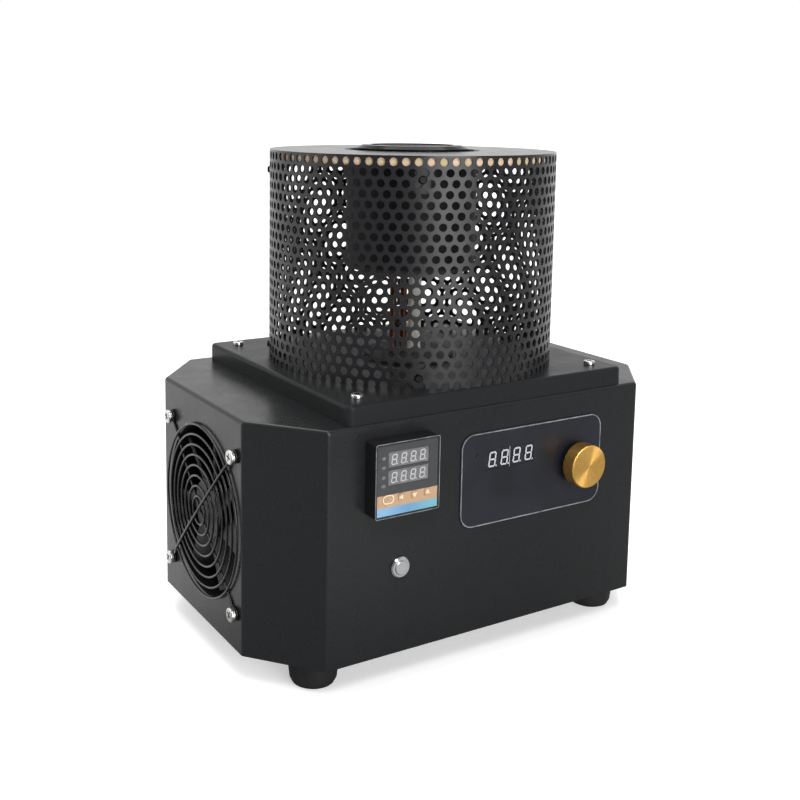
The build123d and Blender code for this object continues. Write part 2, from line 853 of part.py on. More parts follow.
# ----------------------------------------------------------------------------- fan
fan_front = -shell_sheet
fan_back = fan_front - fan_frame_depth
motor_plate_front = fan_back + fan_strut_depth
with BuildPart() as fan_frame:
    with BuildSketch(fan_wall.offset(fan_back)):
        RectangleRounded(fan_size, fan_size, fan_corner_radius)
        Circle(fan_duct_radius, mode=Mode.SUBTRACT)
        with GridLocations(fan_screw_spacing, fan_screw_spacing, 2, 2):
            RegularPolygon(m4_radius + hole_gap, 8, major_radius=False, mode=Mode.SUBTRACT)
    extrude(amount=fan_frame_depth)
    with BuildSketch(fan_wall.offset(fan_back)):
        Circle(fan_motor_radius)
        with PolarLocations(0, 4, start_angle=20):
            with Locations(((fan_duct_radius + fan_motor_radius) / 2, 0)):
                Rectangle(fan_duct_radius - fan_motor_radius + 3, fan_strut_width)
    extrude(amount=fan_strut_depth)
    with BuildSketch(fan_wall.offset(motor_plate_front)):
        Circle(fan_boss_radius)
    extrude(amount=fan_boss_length)
    with BuildSketch(fan_wall.offset(motor_plate_front)):
        Circle(fan_shaft_radius + running_gap)
    extrude(amount=fan_boss_length, mode=Mode.SUBTRACT)
save(fan_frame, "fan_frame")

hub_front = fan_front - fan_front_clearance
with BuildPart() as fan_rotor:
    with BuildSketch(fan_wall.offset(hub_front)):
        Circle(fan_hub_radius)
    extrude(amount=-fan_hub_length)
    with BuildSketch(fan_wall.offset(hub_front - fan_hub_wall)):
        Circle(fan_hub_radius - fan_hub_wall)
    extrude(amount=-fan_hub_length, mode=Mode.SUBTRACT)
    with BuildSketch(fan_wall.offset(hub_front - fan_hub_wall)):
        Circle(fan_shaft_radius)
    extrude(amount=motor_plate_front + seat_gap - hub_front + fan_hub_wall)
    # each blade is an arched strip, set at an angle and run out from the hub
    half_chord = fan_blade_chord / 2
    for blade in range(fan_blade_count):
        spoke = Vector(0, 0, 1).rotate(Axis.X, 360 * blade / fan_blade_count)
        seat = Plane(
            origin=Vector(left_x - hub_front + fan_hub_length / 2, fan_y, fan_z)
            + spoke * (fan_hub_radius - fan_hub_wall),
            x_dir=Vector(1, 0, 0).rotate(Axis((0, 0, 0), spoke), fan_blade_angle),
            z_dir=spoke,
        )
        with BuildSketch(seat):
            with BuildLine():
                ThreePointArc((-half_chord, 0), (0, fan_blade_camber), (half_chord, 0))
                Line((half_chord, 0), (half_chord, -fan_blade_thickness))
                ThreePointArc(
                    (half_chord, -fan_blade_thickness),
                    (0, fan_blade_camber - fan_blade_thickness),
                    (-half_chord, -fan_blade_thickness),
                )
                Line((-half_chord, -fan_blade_thickness), (-half_chord, 0))
            make_face()
        extrude(amount=fan_blade_tip_radius - fan_hub_radius + fan_hub_wall)
save(fan_rotor, "fan_rotor")

screw_radius = fan_screw_spacing / sqrt(2)
arm_low = guard_stand - guard_wire + guard_weld
arm_high = guard_stand + guard_weld
eye_edge = screw_radius - guard_eye_radius + 0.8
with BuildPart() as guard_arm:
    # from the middle under the rings, down to the wall, and out to the screw's eye
    with BuildSketch(Plane.XZ):
        Polygon(
            (0, arm_low),
            (0, arm_high),
            (guard_radius + 3.0, arm_high),
            (eye_edge - 2.0, guard_wire),
            (eye_edge, guard_wire),
            (eye_edge, 0),
            (eye_edge - 3.0, 0),
            (guard_radius + 2.0, arm_low),
            align=None,
        )
    extrude(amount=guard_wire / 2, both=True)
with BuildPart() as fan_guard:
    with BuildSketch(fan_wall.offset(guard_stand)):
        for ring in range(guard_ring_count):
            ring_radius = guard_radius - ring * guard_ring_pitch
            RegularPolygon(ring_radius, guard_ring_sides)
            RegularPolygon(ring_radius - guard_wire, guard_ring_sides, mode=Mode.SUBTRACT)
    extrude(amount=guard_wire)
    with Locations(fan_wall):
        with PolarLocations(0, 4, start_angle=45):
            add(guard_arm.part)
    with BuildSketch(fan_wall):
        with GridLocations(fan_screw_spacing, fan_screw_spacing, 2, 2):
            RegularPolygon(guard_eye_radius, 16)
    extrude(amount=guard_wire)
    with BuildSketch(fan_wall):
        with GridLocations(fan_screw_spacing, fan_screw_spacing, 2, 2):
            RegularPolygon(m4_radius + hole_gap, 8, major_radius=False)
    extrude(amount=guard_wire, mode=Mode.SUBTRACT)
save(fan_guard, "fan_guard")

fan_screw_length = guard_wire + shell_sheet + fan_frame_depth + m4_nut_height + 1.0
with BuildPart() as fan_screws:
    with Locations(fan_wall.offset(guard_wire)):
        with GridLocations(fan_screw_spacing, fan_screw_spacing, 2, 2):
            add(screw(m4_radius, fan_screw_length, fan_screw_head_radius, fan_screw_head_height))
save(fan_screws, "fan_screws")

with BuildPart() as fan_nuts:
    with Locations(fan_wall.offset(fan_back - m4_nut_height)):
        with GridLocations(fan_screw_spacing, fan_screw_spacing, 2, 2):
            add(hex_nut(m4_nut_across, m4_nut_height, m4_radius + hole_gap))
save(fan_nuts, "fan_nuts")

# ----------------------------------------------------------------------------- temperature controller
face_front = controller_proud - controller_face_recess
face_back = face_front - controller_face_thickness
board_front = face_back - controller_board_gap
board_back = board_front - controller_board_thickness
face_size = controller_size - 2 * controller_rim
controller_front = Plane(
    origin=(controller_x, front_y, controller_z), x_dir=(1, 0, 0), z_dir=(0, -1, 0)
)
with BuildPart() as controller_case:
    with BuildSketch(controller_front):
        RectangleRounded(controller_size, controller_size, controller_corner)
    extrude(amount=controller_proud)
    with BuildSketch(controller_front):
        Rectangle(controller_body, controller_body)
    extrude(amount=-controller_length)
    # pockets for the face and the board, then the hollow behind the board
    with BuildSketch(controller_front.offset(face_back)):
        Rectangle(face_size, face_size)
    extrude(amount=controller_proud, mode=Mode.SUBTRACT)
    with BuildSketch(controller_front.offset(board_back)):
        Rectangle(controller_cavity, controller_cavity)
    extrude(amount=controller_proud, mode=Mode.SUBTRACT)
    with BuildSketch(controller_front.offset(controller_wall - controller_length)):
        Rectangle(controller_cavity - 2 * controller_ledge, controller_cavity - 2 * controller_ledge)
    extrude(amount=controller_length + controller_proud, mode=Mode.SUBTRACT)
save(controller_case, "controller_case")

# places on the controller's face, measured from its top left corner
half_face = controller_size / 2
key_y = half_face - key_drop
key_places = [(key_first + number * key_pitch - half_face, key_y) for number in range(4)]
window_x = controller_display_left + controller_display_width / 2 - half_face
window_places = [
    (window_x, half_face - drop - controller_display_height / 2) for drop in controller_display_drops
]


def draw_key(number, grow):
    """Draws one key's outline in the open sketch; the first key is a longer oval."""
    with Locations(key_places[number]):
        if number == 0:
            SlotOverall(key_oval_width + 2 * grow, key_oval_height + 2 * grow)
        else:
            RectangleRounded(key_size + 2 * grow, key_size + 2 * grow, key_size / 4)


with BuildPart() as controller_face:
    with BuildSketch(controller_front.offset(face_back)):
        Rectangle(face_size - 2 * seat_gap, face_size - 2 * seat_gap)
        with Locations(*window_places):
            Rectangle(
                controller_display_width + 2 * seat_gap,
                controller_display_height + 2 * seat_gap,
                mode=Mode.SUBTRACT,
            )
    extrude(amount=controller_face_thickness)
    with BuildSketch(controller_front.offset(face_back)):
        for number in range(4):
            draw_key(number, key_gap)
    extrude(amount=controller_face_thickness, mode=Mode.SUBTRACT)
save(controller_face, "controller_face")

with BuildPart() as controller_displays:
    with BuildSketch(controller_front.offset(board_front)):
        with Locations(*window_places):
            Rectangle(controller_display_width, controller_display_height)
    extrude(amount=face_front - window_recess - board_front)
save(controller_displays, "controller_displays")

with BuildPart() as controller_board:
    with BuildSketch(controller_front.offset(board_back)):
        Rectangle(controller_cavity - 2 * seat_gap, controller_cavity - 2 * seat_gap)
    extrude(amount=controller_board_thickness)
save(controller_board, "controller_board")

flange_front = face_back - running_gap
for number, name in enumerate(("key_menu", "key_left", "key_down", "key_up")):
    with BuildPart() as key:
        with BuildSketch(controller_front.offset(flange_front)):
            draw_key(number, 0)
        extrude(amount=face_front + key_proud - flange_front)
        with BuildSketch(controller_front.offset(flange_front)):
            draw_key(number, key_flange)
        extrude(amount=-key_flange_thickness)
    save(key, name)

clip_inner = controller_body + 2 * seat_gap
with BuildPart() as controller_clip:
    with BuildSketch(controller_front.offset(-shell_sheet)):
        Rectangle(clip_inner + 2 * controller_clip_width, clip_inner + 2 * controller_clip_width)
        Rectangle(clip_inner, clip_inner, mode=Mode.SUBTRACT)
    extrude(amount=-controller_clip_depth)
save(controller_clip, "controller_clip")

# ----------------------------------------------------------------------------- control panel
with BuildPart() as control_panel:
    with BuildSketch(front):
        with Locations((panel_x, panel_z)):
            RectangleRounded(panel_width, panel_height, panel_corner)
        with Locations((display_x, display_z)):
            Rectangle(display_width + 2 * seat_gap, display_height + 2 * seat_gap, mode=Mode.SUBTRACT)
        with Locations((lamp_x, lamp_z)):
            Circle(lamp_radius + seat_gap, mode=Mode.SUBTRACT)
        with Locations((knob_x, knob_z)):
            Circle(pot_bushing_radius + seat_gap, mode=Mode.SUBTRACT)
    extrude(amount=panel_thickness)
save(control_panel, "control_panel")

panel_board_front = panel_thickness - window_recess - display_depth
with BuildPart() as power_display:
    with BuildSketch(front.offset(panel_board_front)):
        with Locations((display_x, display_z)):
            Rectangle(display_width, display_height)
    extrude(amount=display_depth)
    with BuildSketch(front.offset(panel_board_front)):
        with Locations((lamp_x, lamp_z)):
            Circle(lamp_radius)
    extrude(amount=display_depth + window_recess + lamp_radius / 3)
save(power_display, "power_display")

panel_board_places = GridLocations(
    panel_board_width - 2 * standoff_inset, panel_board_height - 2 * standoff_inset, 2, 2
).locations
with BuildPart() as panel_board:
    with BuildSketch(front.offset(panel_board_front)):
        with Locations((panel_board_x, panel_board_z)):
            Rectangle(panel_board_width, panel_board_height)
    extrude(amount=-panel_board_thickness)
save(panel_board, "panel_board")

with BuildPart() as panel_standoffs:
    with BuildSketch(front.offset(panel_board_front)):
        with Locations((panel_board_x, panel_board_z)):
            with Locations(*panel_board_places):
                RegularPolygon(standoff_across / 2, 6, major_radius=False)
    extrude(amount=-panel_board_front - shell_sheet)
save(panel_standoffs, "panel_standoffs")

# ----------------------------------------------------------------------------- knob and potentiometer
knob_seat = Plane(origin=(knob_x, front_y, knob_z), x_dir=(1, 0, 0), z_dir=(0, -1, 0))
knob_front = knob_stand + knob_length
bushing_bore = pot_shaft_radius + running_gap
pot_back = -shell_sheet - pot_body_length
with BuildPart() as potentiometer:
    add(
        turned(
            [
                (0, pot_back),
                (pot_body_radius, pot_back),
                (pot_body_radius, -shell_sheet),
                (pot_bushing_radius, -shell_sheet),
                (pot_bushing_radius, pot_bushing_reach),
                (bushing_bore, pot_bushing_reach),
                (bushing_bore, pot_back + pot_floor),
                (0, pot_back + pot_floor),
            ],
            knob_seat,
        )
    )
save(potentiometer, "potentiometer")

with BuildPart() as potentiometer_nut:
    with Locations(knob_seat.offset(panel_thickness)):
        add(hex_nut(pot_nut_across, pot_nut_height, pot_bushing_radius + seat_gap))
save(potentiometer_nut, "potentiometer_nut")

with BuildPart() as potentiometer_shaft:
    with BuildSketch(knob_seat.offset(pot_back + pot_floor + running_gap)):
        Circle(pot_shaft_radius)
    extrude(amount=pot_shaft_reach - pot_back - pot_floor - running_gap)
save(potentiometer_shaft, "potentiometer_shaft")

with BuildPart() as power_knob:
    add(
        turned(
            [
                (pot_shaft_radius + running_gap, knob_hub_start),
                (knob_hub_radius, knob_hub_start),
                (knob_hub_radius, knob_stand),
                (knob_radius - knob_rim_chamfer, knob_stand),
                (knob_radius, knob_stand + knob_rim_chamfer),
                (knob_radius, knob_front - knob_rim_chamfer),
                (knob_radius - knob_rim_chamfer, knob_front),
                (0, knob_front),
                (0, pot_shaft_reach + running_gap),
                (pot_shaft_radius + running_gap, pot_shaft_reach + running_gap),
            ],
            knob_seat,
        )
    )
save(power_knob, "power_knob")

# ----------------------------------------------------------------------------- push button
button_seat = Plane(origin=(button_x, front_y, button_z), x_dir=(1, 0, 0), z_dir=(0, -1, 0))
cap_bore = button_cap_radius + key_gap
cap_front = button_bezel_height + button_cap_proud
cap_back = cap_front - button_cap_length
with BuildPart() as button_housing:
    add(
        turned(
            [
                (0, -button_barrel_length),
                (button_barrel_radius, -button_barrel_length),
                (button_barrel_radius, 0),
                (button_bezel_radius, 0),
                (button_bezel_radius, button_bezel_height - button_bezel_chamfer),
                (button_bezel_radius - button_bezel_chamfer, button_bezel_height),
                (cap_bore, button_bezel_height),
                (cap_bore, cap_back - button_travel - end_gap),
                (0, cap_back - button_travel - end_gap),
            ],
            button_seat,
        )
    )
save(button_housing, "button_housing")

with BuildPart() as button_nut:
    with Locations(button_seat.offset(-shell_sheet - button_nut_height)):
        add(hex_nut(button_nut_across, button_nut_height, button_barrel_radius + seat_gap))
save(button_nut, "button_nut")

with BuildPart() as button_cap:
    with BuildSketch(button_seat.offset(cap_back)):
        Circle(button_cap_radius)
    extrude(amount=button_cap_length)
    chamfer(button_cap.faces().sort_by(Axis.Y)[0].edges(), length=0.4)
save(button_cap, "button_cap")

# ----------------------------------------------------------------------------- mains inlet
inlet_seat = Plane(origin=(inlet_x, back_y, inlet_z), x_dir=(-1, 0, 0), z_dir=(0, 1, 0))
cavity_floor = inlet_flange_thickness - inlet_cavity_depth
with BuildPart() as mains_inlet:
    with BuildSketch(inlet_seat):
        RectangleRounded(inlet_flange_width, inlet_flange_height, 1.5)
    extrude(amount=inlet_flange_thickness)
    with BuildSketch(inlet_seat):
        Rectangle(inlet_body_width, inlet_body_height)
    extrude(amount=cavity_floor - inlet_floor)
    # the well's two upper corners are cut off, so that the plug goes in one way round
    half_w = inlet_cavity_width / 2
    half_h = inlet_cavity_height / 2
    with BuildSketch(inlet_seat.offset(cavity_floor)):
        Polygon(
            (-half_w, -half_h),
            (half_w, -half_h),
            (half_w, half_h - inlet_corner_cut),
            (half_w - inlet_corner_cut, half_h),
            (-half_w + inlet_corner_cut, half_h),
            (-half_w, half_h - inlet_corner_cut),
            align=None,
        )
    extrude(amount=inlet_cavity_depth, mode=Mode.SUBTRACT)
save(mains_inlet, "mains_inlet")

with BuildPart() as inlet_pins:
    with BuildSketch(inlet_seat.offset(cavity_floor)):
        with Locations((-inlet_pin_spacing, -inlet_pin_rise), (inlet_pin_spacing, -inlet_pin_rise)):
            Rectangle(inlet_pin_width, inlet_pin_height)
        with Locations((0, inlet_pin_rise)):
            Rectangle(inlet_pin_width, inlet_pin_height)
    extrude(amount=inlet_cavity_depth - inlet_pin_recess)
save(inlet_pins, "inlet_pins")

# ----------------------------------------------------------------------------- rocker switch
rocker_seat = Plane(origin=(rocker_x, back_y, rocker_z), x_dir=(-1, 0, 0), z_dir=(0, 1, 0))
rocker_slot = rocker_width + 2 * key_gap
with BuildPart() as rocker_frame:
    with BuildSketch(rocker_seat):
        RectangleRounded(rocker_bezel_width, rocker_bezel_height, 1.5)
    extrude(amount=rocker_bezel_thickness)
    with BuildSketch(rocker_seat):
        Rectangle(rocker_body_width, rocker_body_height)
    extrude(amount=-rocker_body_depth)
    with BuildSketch(rocker_seat.offset(rocker_floor - rocker_body_depth)):
        Rectangle(rocker_slot, rocker_window)
    extrude(amount=2 * rocker_body_depth, mode=Mode.SUBTRACT)
    # bearings for the rocker's pins in the two side walls
    with BuildSketch(Plane.YZ.offset(rocker_x)):
        with Locations((back_y - rocker_pivot_depth, rocker_z)):
            Circle(rocker_pin_radius + running_gap)
    extrude(amount=rocker_body_width / 2, both=True, mode=Mode.SUBTRACT)
save(rocker_frame, "rocker_frame")

# drawn about its pivot on a plane that is tipped to the off position
half_belly = rocker_reach - 1.4
rocker_pose = Plane(
    origin=(rocker_x, back_y - rocker_pivot_depth, rocker_z),
    x_dir=(0, cos(radians(rocker_tilt)), sin(radians(rocker_tilt))),
    z_dir=(1, 0, 0),
)
with BuildPart() as rocker_switch:
    with BuildSketch(rocker_pose):
        Polygon(
            (rocker_pivot_depth + rocker_rise, rocker_reach),
            (rocker_pivot_depth + rocker_dip, 0),
            (rocker_pivot_depth + rocker_rise, -rocker_reach),
            (0, -rocker_reach),
            (-rocker_belly / 2, -half_belly),
            (-rocker_belly / 2, half_belly),
            (0, rocker_reach),
            align=None,
        )
    extrude(amount=rocker_width / 2, both=True)
    with BuildSketch(rocker_pose):
        Circle(rocker_pin_radius)
    extrude(amount=rocker_body_width / 2 - seat_gap, both=True)
save(rocker_switch, "rocker_switch")

# ----------------------------------------------------------------------------- power electronics
board_bottom = pan_floor_top + board_stand
board_seat = Plane(origin=(board_x, board_y, board_top))
standoff_places = GridLocations(
    board_width - 2 * board_inset, board_depth - 2 * board_inset, 2, 2
).locations
with BuildPart() as power_board:
    with BuildSketch(board_seat):
        Rectangle(board_width, board_depth)
    extrude(amount=-board_thickness)
save(power_board, "power_board")

with BuildPart() as board_standoffs:
    with BuildSketch(Plane(origin=(board_x, board_y, pan_floor_top))):
        with Locations(*standoff_places):
            RegularPolygon(board_standoff_across / 2, 6, major_radius=False)
    extrude(amount=board_stand)
save(board_standoffs, "board_standoffs")

# two heat sinks back to back, their fins outwards and the transistors between them
fin_pitch = (sink_length - sink_fin) / (sink_fin_count - 1)
with BuildPart() as heat_sinks:
    for side in (-1, 1):
        middle = board_y + side * sink_spread / 2
        with BuildSketch(Plane(origin=(sink_x, middle, board_top))):
            with Locations((0, side * (sink_base - sink_depth) / 2)):
                Rectangle(sink_length, sink_base)
            with Locations((0, side * sink_base / 2)):
                with GridLocations(fin_pitch, 0, sink_fin_count, 1):
                    Rectangle(sink_fin, sink_depth - sink_base)
        extrude(amount=sink_height)
save(heat_sinks, "heat_sinks")

transistor_gap = (sink_spread - sink_depth) / 2
with BuildPart() as power_transistors:
    for side in (-1, 1):
        face = board_y + side * (transistor_gap - transistor_thickness / 2)
        with BuildSketch(Plane(origin=(sink_x, face, board_top + 5.0))):
            with GridLocations(transistor_pitch, 0, 2, 1):
                Rectangle(transistor_width, transistor_thickness)
        extrude(amount=transistor_height)
        with BuildSketch(Plane(origin=(sink_x, face, board_top))):
            with GridLocations(transistor_pitch, 0, 2, 1):
                with GridLocations(5.4, 0, 3, 1):
                    Rectangle(1.2, 0.8)
        extrude(amount=5.0)
save(power_transistors, "power_transistors")

with BuildPart() as resonant_capacitors:
    with BuildSketch(Plane(origin=(capacitor_x, board_y, board_top))):
        with GridLocations(0, capacitor_pitch, 1, 3):
            Rectangle(capacitor_width, capacitor_depth)
    extrude(amount=capacitor_height)
    fillet(resonant_capacitors.edges().filter_by(Axis.Z), radius=1.5)
save(resonant_capacitors, "resonant_capacitors")

with BuildPart() as coil_terminals:
    with BuildSketch(level(board_top)):
        for offset_x in lead_offsets_x:
            with Locations((offset_x, 0)):
                Rectangle(terminal_width, terminal_width)
    extrude(amount=terminal_height)
    with BuildSketch(level(lead_bottom)):
        for offset_x in lead_offsets_x:
            with Locations((offset_x, 0)):
                Circle(lead_radius + seat_gap)
    extrude(amount=terminal_bore_depth, mode=Mode.SUBTRACT)
save(coil_terminals, "coil_terminals")
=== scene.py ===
import json
import math

import bmesh
import bpy
from mathutils import Matrix, Vector


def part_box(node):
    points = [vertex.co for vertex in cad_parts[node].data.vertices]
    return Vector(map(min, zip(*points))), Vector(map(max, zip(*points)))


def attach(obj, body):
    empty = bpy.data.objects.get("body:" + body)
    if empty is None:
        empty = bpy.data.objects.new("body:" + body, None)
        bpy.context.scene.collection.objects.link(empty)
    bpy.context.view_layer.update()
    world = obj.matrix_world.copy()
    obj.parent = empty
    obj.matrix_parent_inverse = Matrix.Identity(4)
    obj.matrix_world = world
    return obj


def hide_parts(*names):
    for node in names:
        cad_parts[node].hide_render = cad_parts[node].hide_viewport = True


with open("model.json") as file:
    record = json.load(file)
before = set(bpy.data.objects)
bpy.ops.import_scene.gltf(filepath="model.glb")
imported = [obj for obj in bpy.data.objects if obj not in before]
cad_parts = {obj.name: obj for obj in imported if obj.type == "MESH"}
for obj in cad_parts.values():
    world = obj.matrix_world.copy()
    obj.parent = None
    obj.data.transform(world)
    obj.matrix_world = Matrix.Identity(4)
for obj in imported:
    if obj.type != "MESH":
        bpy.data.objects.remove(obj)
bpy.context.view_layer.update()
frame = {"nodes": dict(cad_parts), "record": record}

# Pieces are drawn in millimetres and scaled to metres when they are finished.
MM = 0.001

# ---------------------------------------------------------------- sizes, in mm
# perforated sheet of the cage: round holes on a staggered pitch
HOLE_DIAMETER = 5.5
HOLE_COLUMNS = 80
HOLE_PITCH = 8.0
HOLE_ROWS = 22
HOLE_SIDES = 12
FIRST_ROW_DROP = 3.1
SHEET_THICKNESS = 1.2
# verts of neighbouring cells that are closer than this are one
CELL_WELD = 0.01
COLUMN_WELD = 0.05

# wire guard of the fan
GUARD_WIRE = 1.7
GUARD_RADIUS = 59.5
GUARD_RINGS = 8
GUARD_RING_PITCH = 7.0
GUARD_OUTER_STAND = 1.7
GUARD_DOME = 1.1
GUARD_EYE_RADIUS = 3.9
GUARD_EYE_STEPS = 20
# how far the two crossing wires lie before and behind the rings
GUARD_LAYER = 1.25
# radii at which a crossing wire is bent to follow the dome
GUARD_BENDS = (0.0, 15.0, 30.0, 45.0)
RING_STEPS = 64
WIRE_SIDES = 8

# screw heads
FAN_SCREW_HEAD = 4.8
FAN_SCREW_RISE = 2.6
DECK_SCREW_HEAD = 4.0
DECK_SCREW_RISE = 2.4
FAN_SCREW_SHANK = 2.0
DECK_SCREW_SHANK = 1.9
SHANK_SIDES = 12
HEAD_STEPS = 24
# the rounded shoulder as a share of the head, and the arms of the dark cross that is painted as the
# recess's shade, as shares of its radius
SHOULDER_SHARE = 0.35
CROSS_LENGTH_SHARE = 1.15
CROSS_WIDTH_SHARE = 0.24
CROSS_RISE = 0.05

# displays
SEGMENT_SLANT = math.radians(7.0)
PRINT_THICKNESS = 0.12
DIGIT_COUNT = 4
# in strokes: how much shorter a level and an upright bar are than their place, and the point's gap
LEVEL_SHORTENING = 1.15
UPRIGHT_SHORTENING = 0.15
POINT_GAP = 0.75
PANEL_DIGIT_WIDTH = 5.9
PANEL_DIGIT_HEIGHT = 10.4
PANEL_DIGIT_STROKE = 1.05
PANEL_DIGIT_PITCH = 10.3
# across and up, where the power display's digits and their seam are centred
PANEL_DIGITS_X = 12.0
PANEL_DIGITS_Z = 140.4
PANEL_SEAM_SHIFT = 0.2
PANEL_SEAM_HEIGHT = 14.0
PANEL_SEAM_WIDTH = 0.35
CONTROLLER_DIGIT_WIDTH = 4.1
CONTROLLER_DIGIT_HEIGHT = 6.9
CONTROLLER_DIGIT_STROKE = 0.8
CONTROLLER_DIGIT_PITCH = 7.0
CONTROLLER_DIGIT_INSET = 0.9
CONTROLLER_WINDOW_HEIGHT = 9.6
PANEL_LINE_WIDTH = 0.75
PANEL_LINE_INSET = 0.35
PANEL_CORNER = 10.0
CONTROLLER_CORNER = 1.6
SYMBOL_RING_WIDTH = 0.7
# the oval symbol's ends keep a flat twice this long
OVAL_FLAT = 0.05

# controller face: how far below the top of the case each printed band starts
TAN_BAND_DROP = 33.1
BLUE_BAND_DROP = 41.0
BAND_BLEND = 0.8
RIM_LINE_WIDTH = 0.5
KEY_SYMBOL_REACH = 1.9
STATUS_LAMP_DROPS = (9.3, 15.2, 21.5, 27.0)
STATUS_LAMP_INSET = 6.0
STATUS_LAMP_WIDTH = 3.4
STATUS_LAMP_HEIGHT = 2.2


def box(node):
    """Lowest and highest corner of a construction piece, in mm."""
    low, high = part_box(node)
    return low / MM, high / MM


def middle(node):
    low, high = box(node)
    return (low + high) / 2


# ---------------------------------------------------------------- materials
def linear(code):
    """An sRGB hex colour as linear red, green, blue and alpha."""
    channels = [int(code[i:i + 2], 16) / 255 for i in (1, 3, 5)]
    return [*(c / 12.92 if c <= 0.04045 else ((c + 0.055) / 1.055) ** 2.4 for c in channels), 1.0]


def add(tree, kind, settings=None, values=None, links=None):
    """Adds one shader node with its settings, its sockets' values and the links into it."""
    node = tree.nodes.new("ShaderNode" + kind)
    for name, setting in (settings or {}).items():
        setattr(node, name, setting)
    for socket, value in (values or {}).items():
        node.inputs[socket].default_value = value
    for socket, source in (links or {}).items():
        tree.links.new(source, node.inputs[socket])
    return node


def start(name, colour, roughness, metallic=0.0, **sockets):
    """Starts a material: returns it, its tree, its shader and the place on the piece in metres."""
    material = bpy.data.materials.new(name)
    material.use_nodes = True
    tree = material.node_tree
    shader = tree.nodes["Principled BSDF"]
    shader.inputs["Base Color"].default_value = linear(colour)
    shader.inputs["Roughness"].default_value = roughness
    shader.inputs["Metallic"].default_value = metallic
    for socket, value in sockets.items():
        shader.inputs[socket.replace("_", " ")].default_value = value
    place = add(tree, "TexCoord").outputs["Object"]
    return material, tree, shader, place


def per_mm(size):
    """The scale at which a pattern's features are this many mm across."""
    return 1 / (size * MM)


def speckle(tree, shader, place, size, low, high, detail=3.0):
    """Lets the base colour wander between two tones in patches of this size."""
    noise = add(tree, "TexNoise", values={"Scale": per_mm(size), "Detail": detail}, links={"Vector": place})
    tones = add(tree, "ValToRGB", links={"Fac": noise.outputs["Fac"]})
    tones.color_ramp.elements[0].color = linear(low)
    tones.color_ramp.elements[0].position = 0.35
    tones.color_ramp.elements[1].color = linear(high)
    tones.color_ramp.elements[1].position = 0.65
    tree.links.new(tones.outputs["Color"], shader.inputs["Base Color"])


def wander_roughness(tree, shader, place, size, low, high):
    """Lets the roughness wander between two values in patches of this size."""
    noise = add(tree, "TexNoise", values={"Scale": per_mm(size), "Detail": 2.0}, links={"Vector": place})
    spread = add(tree, "MapRange", values={"From Min": 0.3, "From Max": 0.7, "To Min": low, "To Max": high},
                 links={"Value": noise.outputs["Fac"]})
    tree.links.new(spread.outputs["Result"], shader.inputs["Roughness"])


def texture_bump(tree, shader, place, size, height, detail=2.0, rounding=0.0):
    """Raises the surface in grains of a size and height in mm, and may round its edges by a radius."""
    noise = add(tree, "TexNoise", values={"Scale": per_mm(size), "Detail": detail}, links={"Vector": place})
    bump = add(tree, "Bump", values={"Distance": height * MM, "Strength": 1.0},
               links={"Height": noise.outputs["Fac"]})
    if rounding:
        soft_edge = add(tree, "Bevel", {"samples": 16}, {"Radius": rounding * MM})
        tree.links.new(soft_edge.outputs["Normal"], bump.inputs["Normal"])
    tree.links.new(bump.outputs["Normal"], shader.inputs["Normal"])


def powder_coat(name, colour, roughness, specular=0.3):
    # Polyester powder coat baked on sheet steel: a near-black satin skin whose gloss wanders a little
    # from patch to patch, with a trace of orange peel.
    material, tree, shader, place = start(name, colour, roughness, Specular_IOR_Level=specular)
    wander_roughness(tree, shader, place, 14.0, roughness - 0.03, roughness + 0.04)
    texture_bump(tree, shader, place, 1.8, 0.002, 0.0)
    return material


def gloss_enamel():
    # Glazed black stoneware ring: mirror-like, with the slow ripples that a fired glaze keeps.
    material, tree, shader, place = start("glazed_collar_black", "#060607", 0.14, Specular_IOR_Level=0.03)
    texture_bump(tree, shader, place, 9.0, 0.12, 1.0, rounding=0.6)
    return material


def mica_sleeve():
    # Rolled mica and glass tape cured in black resin: dark, smooth, with faint wrapped bands.
    material, tree, shader, place = start("cured_mica_sleeve", "#131316", 0.5, Specular_IOR_Level=0.2)
    speckle(tree, shader, place, 11.0, "#101013", "#17171b")
    texture_bump(tree, shader, place, 3.0, 0.02)
    return material


def fibre_board():
    # Calcium silicate insulating board, sawn: dry, tan, with pinkish and greenish patches and pores.
    material, tree, shader, place = start("calcium_silicate_board", "#b5a58c", 0.9)
    speckle(tree, shader, place, 7.0, "#a79a74", "#c4a596", 4.0)
    texture_bump(tree, shader, place, 0.9, 0.12)
    return material


def board_painted_shade():
    # Base board and lead plate of fibre cement, coloured brown-black as painted shade for the dark inside
    # of the cage.
    material, tree, shader, place = start("fibre_cement_painted_shade", "#26221f", 0.7)
    speckle(tree, shader, place, 6.0, "#1d1a18", "#302b27", 4.0)
    texture_bump(tree, shader, place, 0.8, 0.06)
    return material


def alumina():
    # Fired alumina tube: off-white, matt, slightly sandy.
    material, tree, shader, place = start("fired_alumina", "#cfcac0", 0.7)
    speckle(tree, shader, place, 5.0, "#c6c0b4", "#d6d2c9")
    texture_bump(tree, shader, place, 0.6, 0.03)
    return material


def graphite():
    # Isostatic graphite, turned: dark grey with a soft pencil-lead sheen.
    material, tree, shader, place = start("turned_graphite", "#2e2f33", 0.42, 0.35)
    speckle(tree, shader, place, 0.8, "#28292d", "#36373c")
    texture_bump(tree, shader, place, 0.5, 0.01)
    return material


def copper():
    # Drawn copper tube, dulled by heat: dark brown oxide with a little red metal showing through.
    material, tree, shader, place = start("heat_browned_copper", "#4a3024", 0.42, 0.9)
    speckle(tree, shader, place, 5.0, "#35241c", "#5c3b29", 4.0)
    texture_bump(tree, shader, place, 1.5, 0.02)
    return material


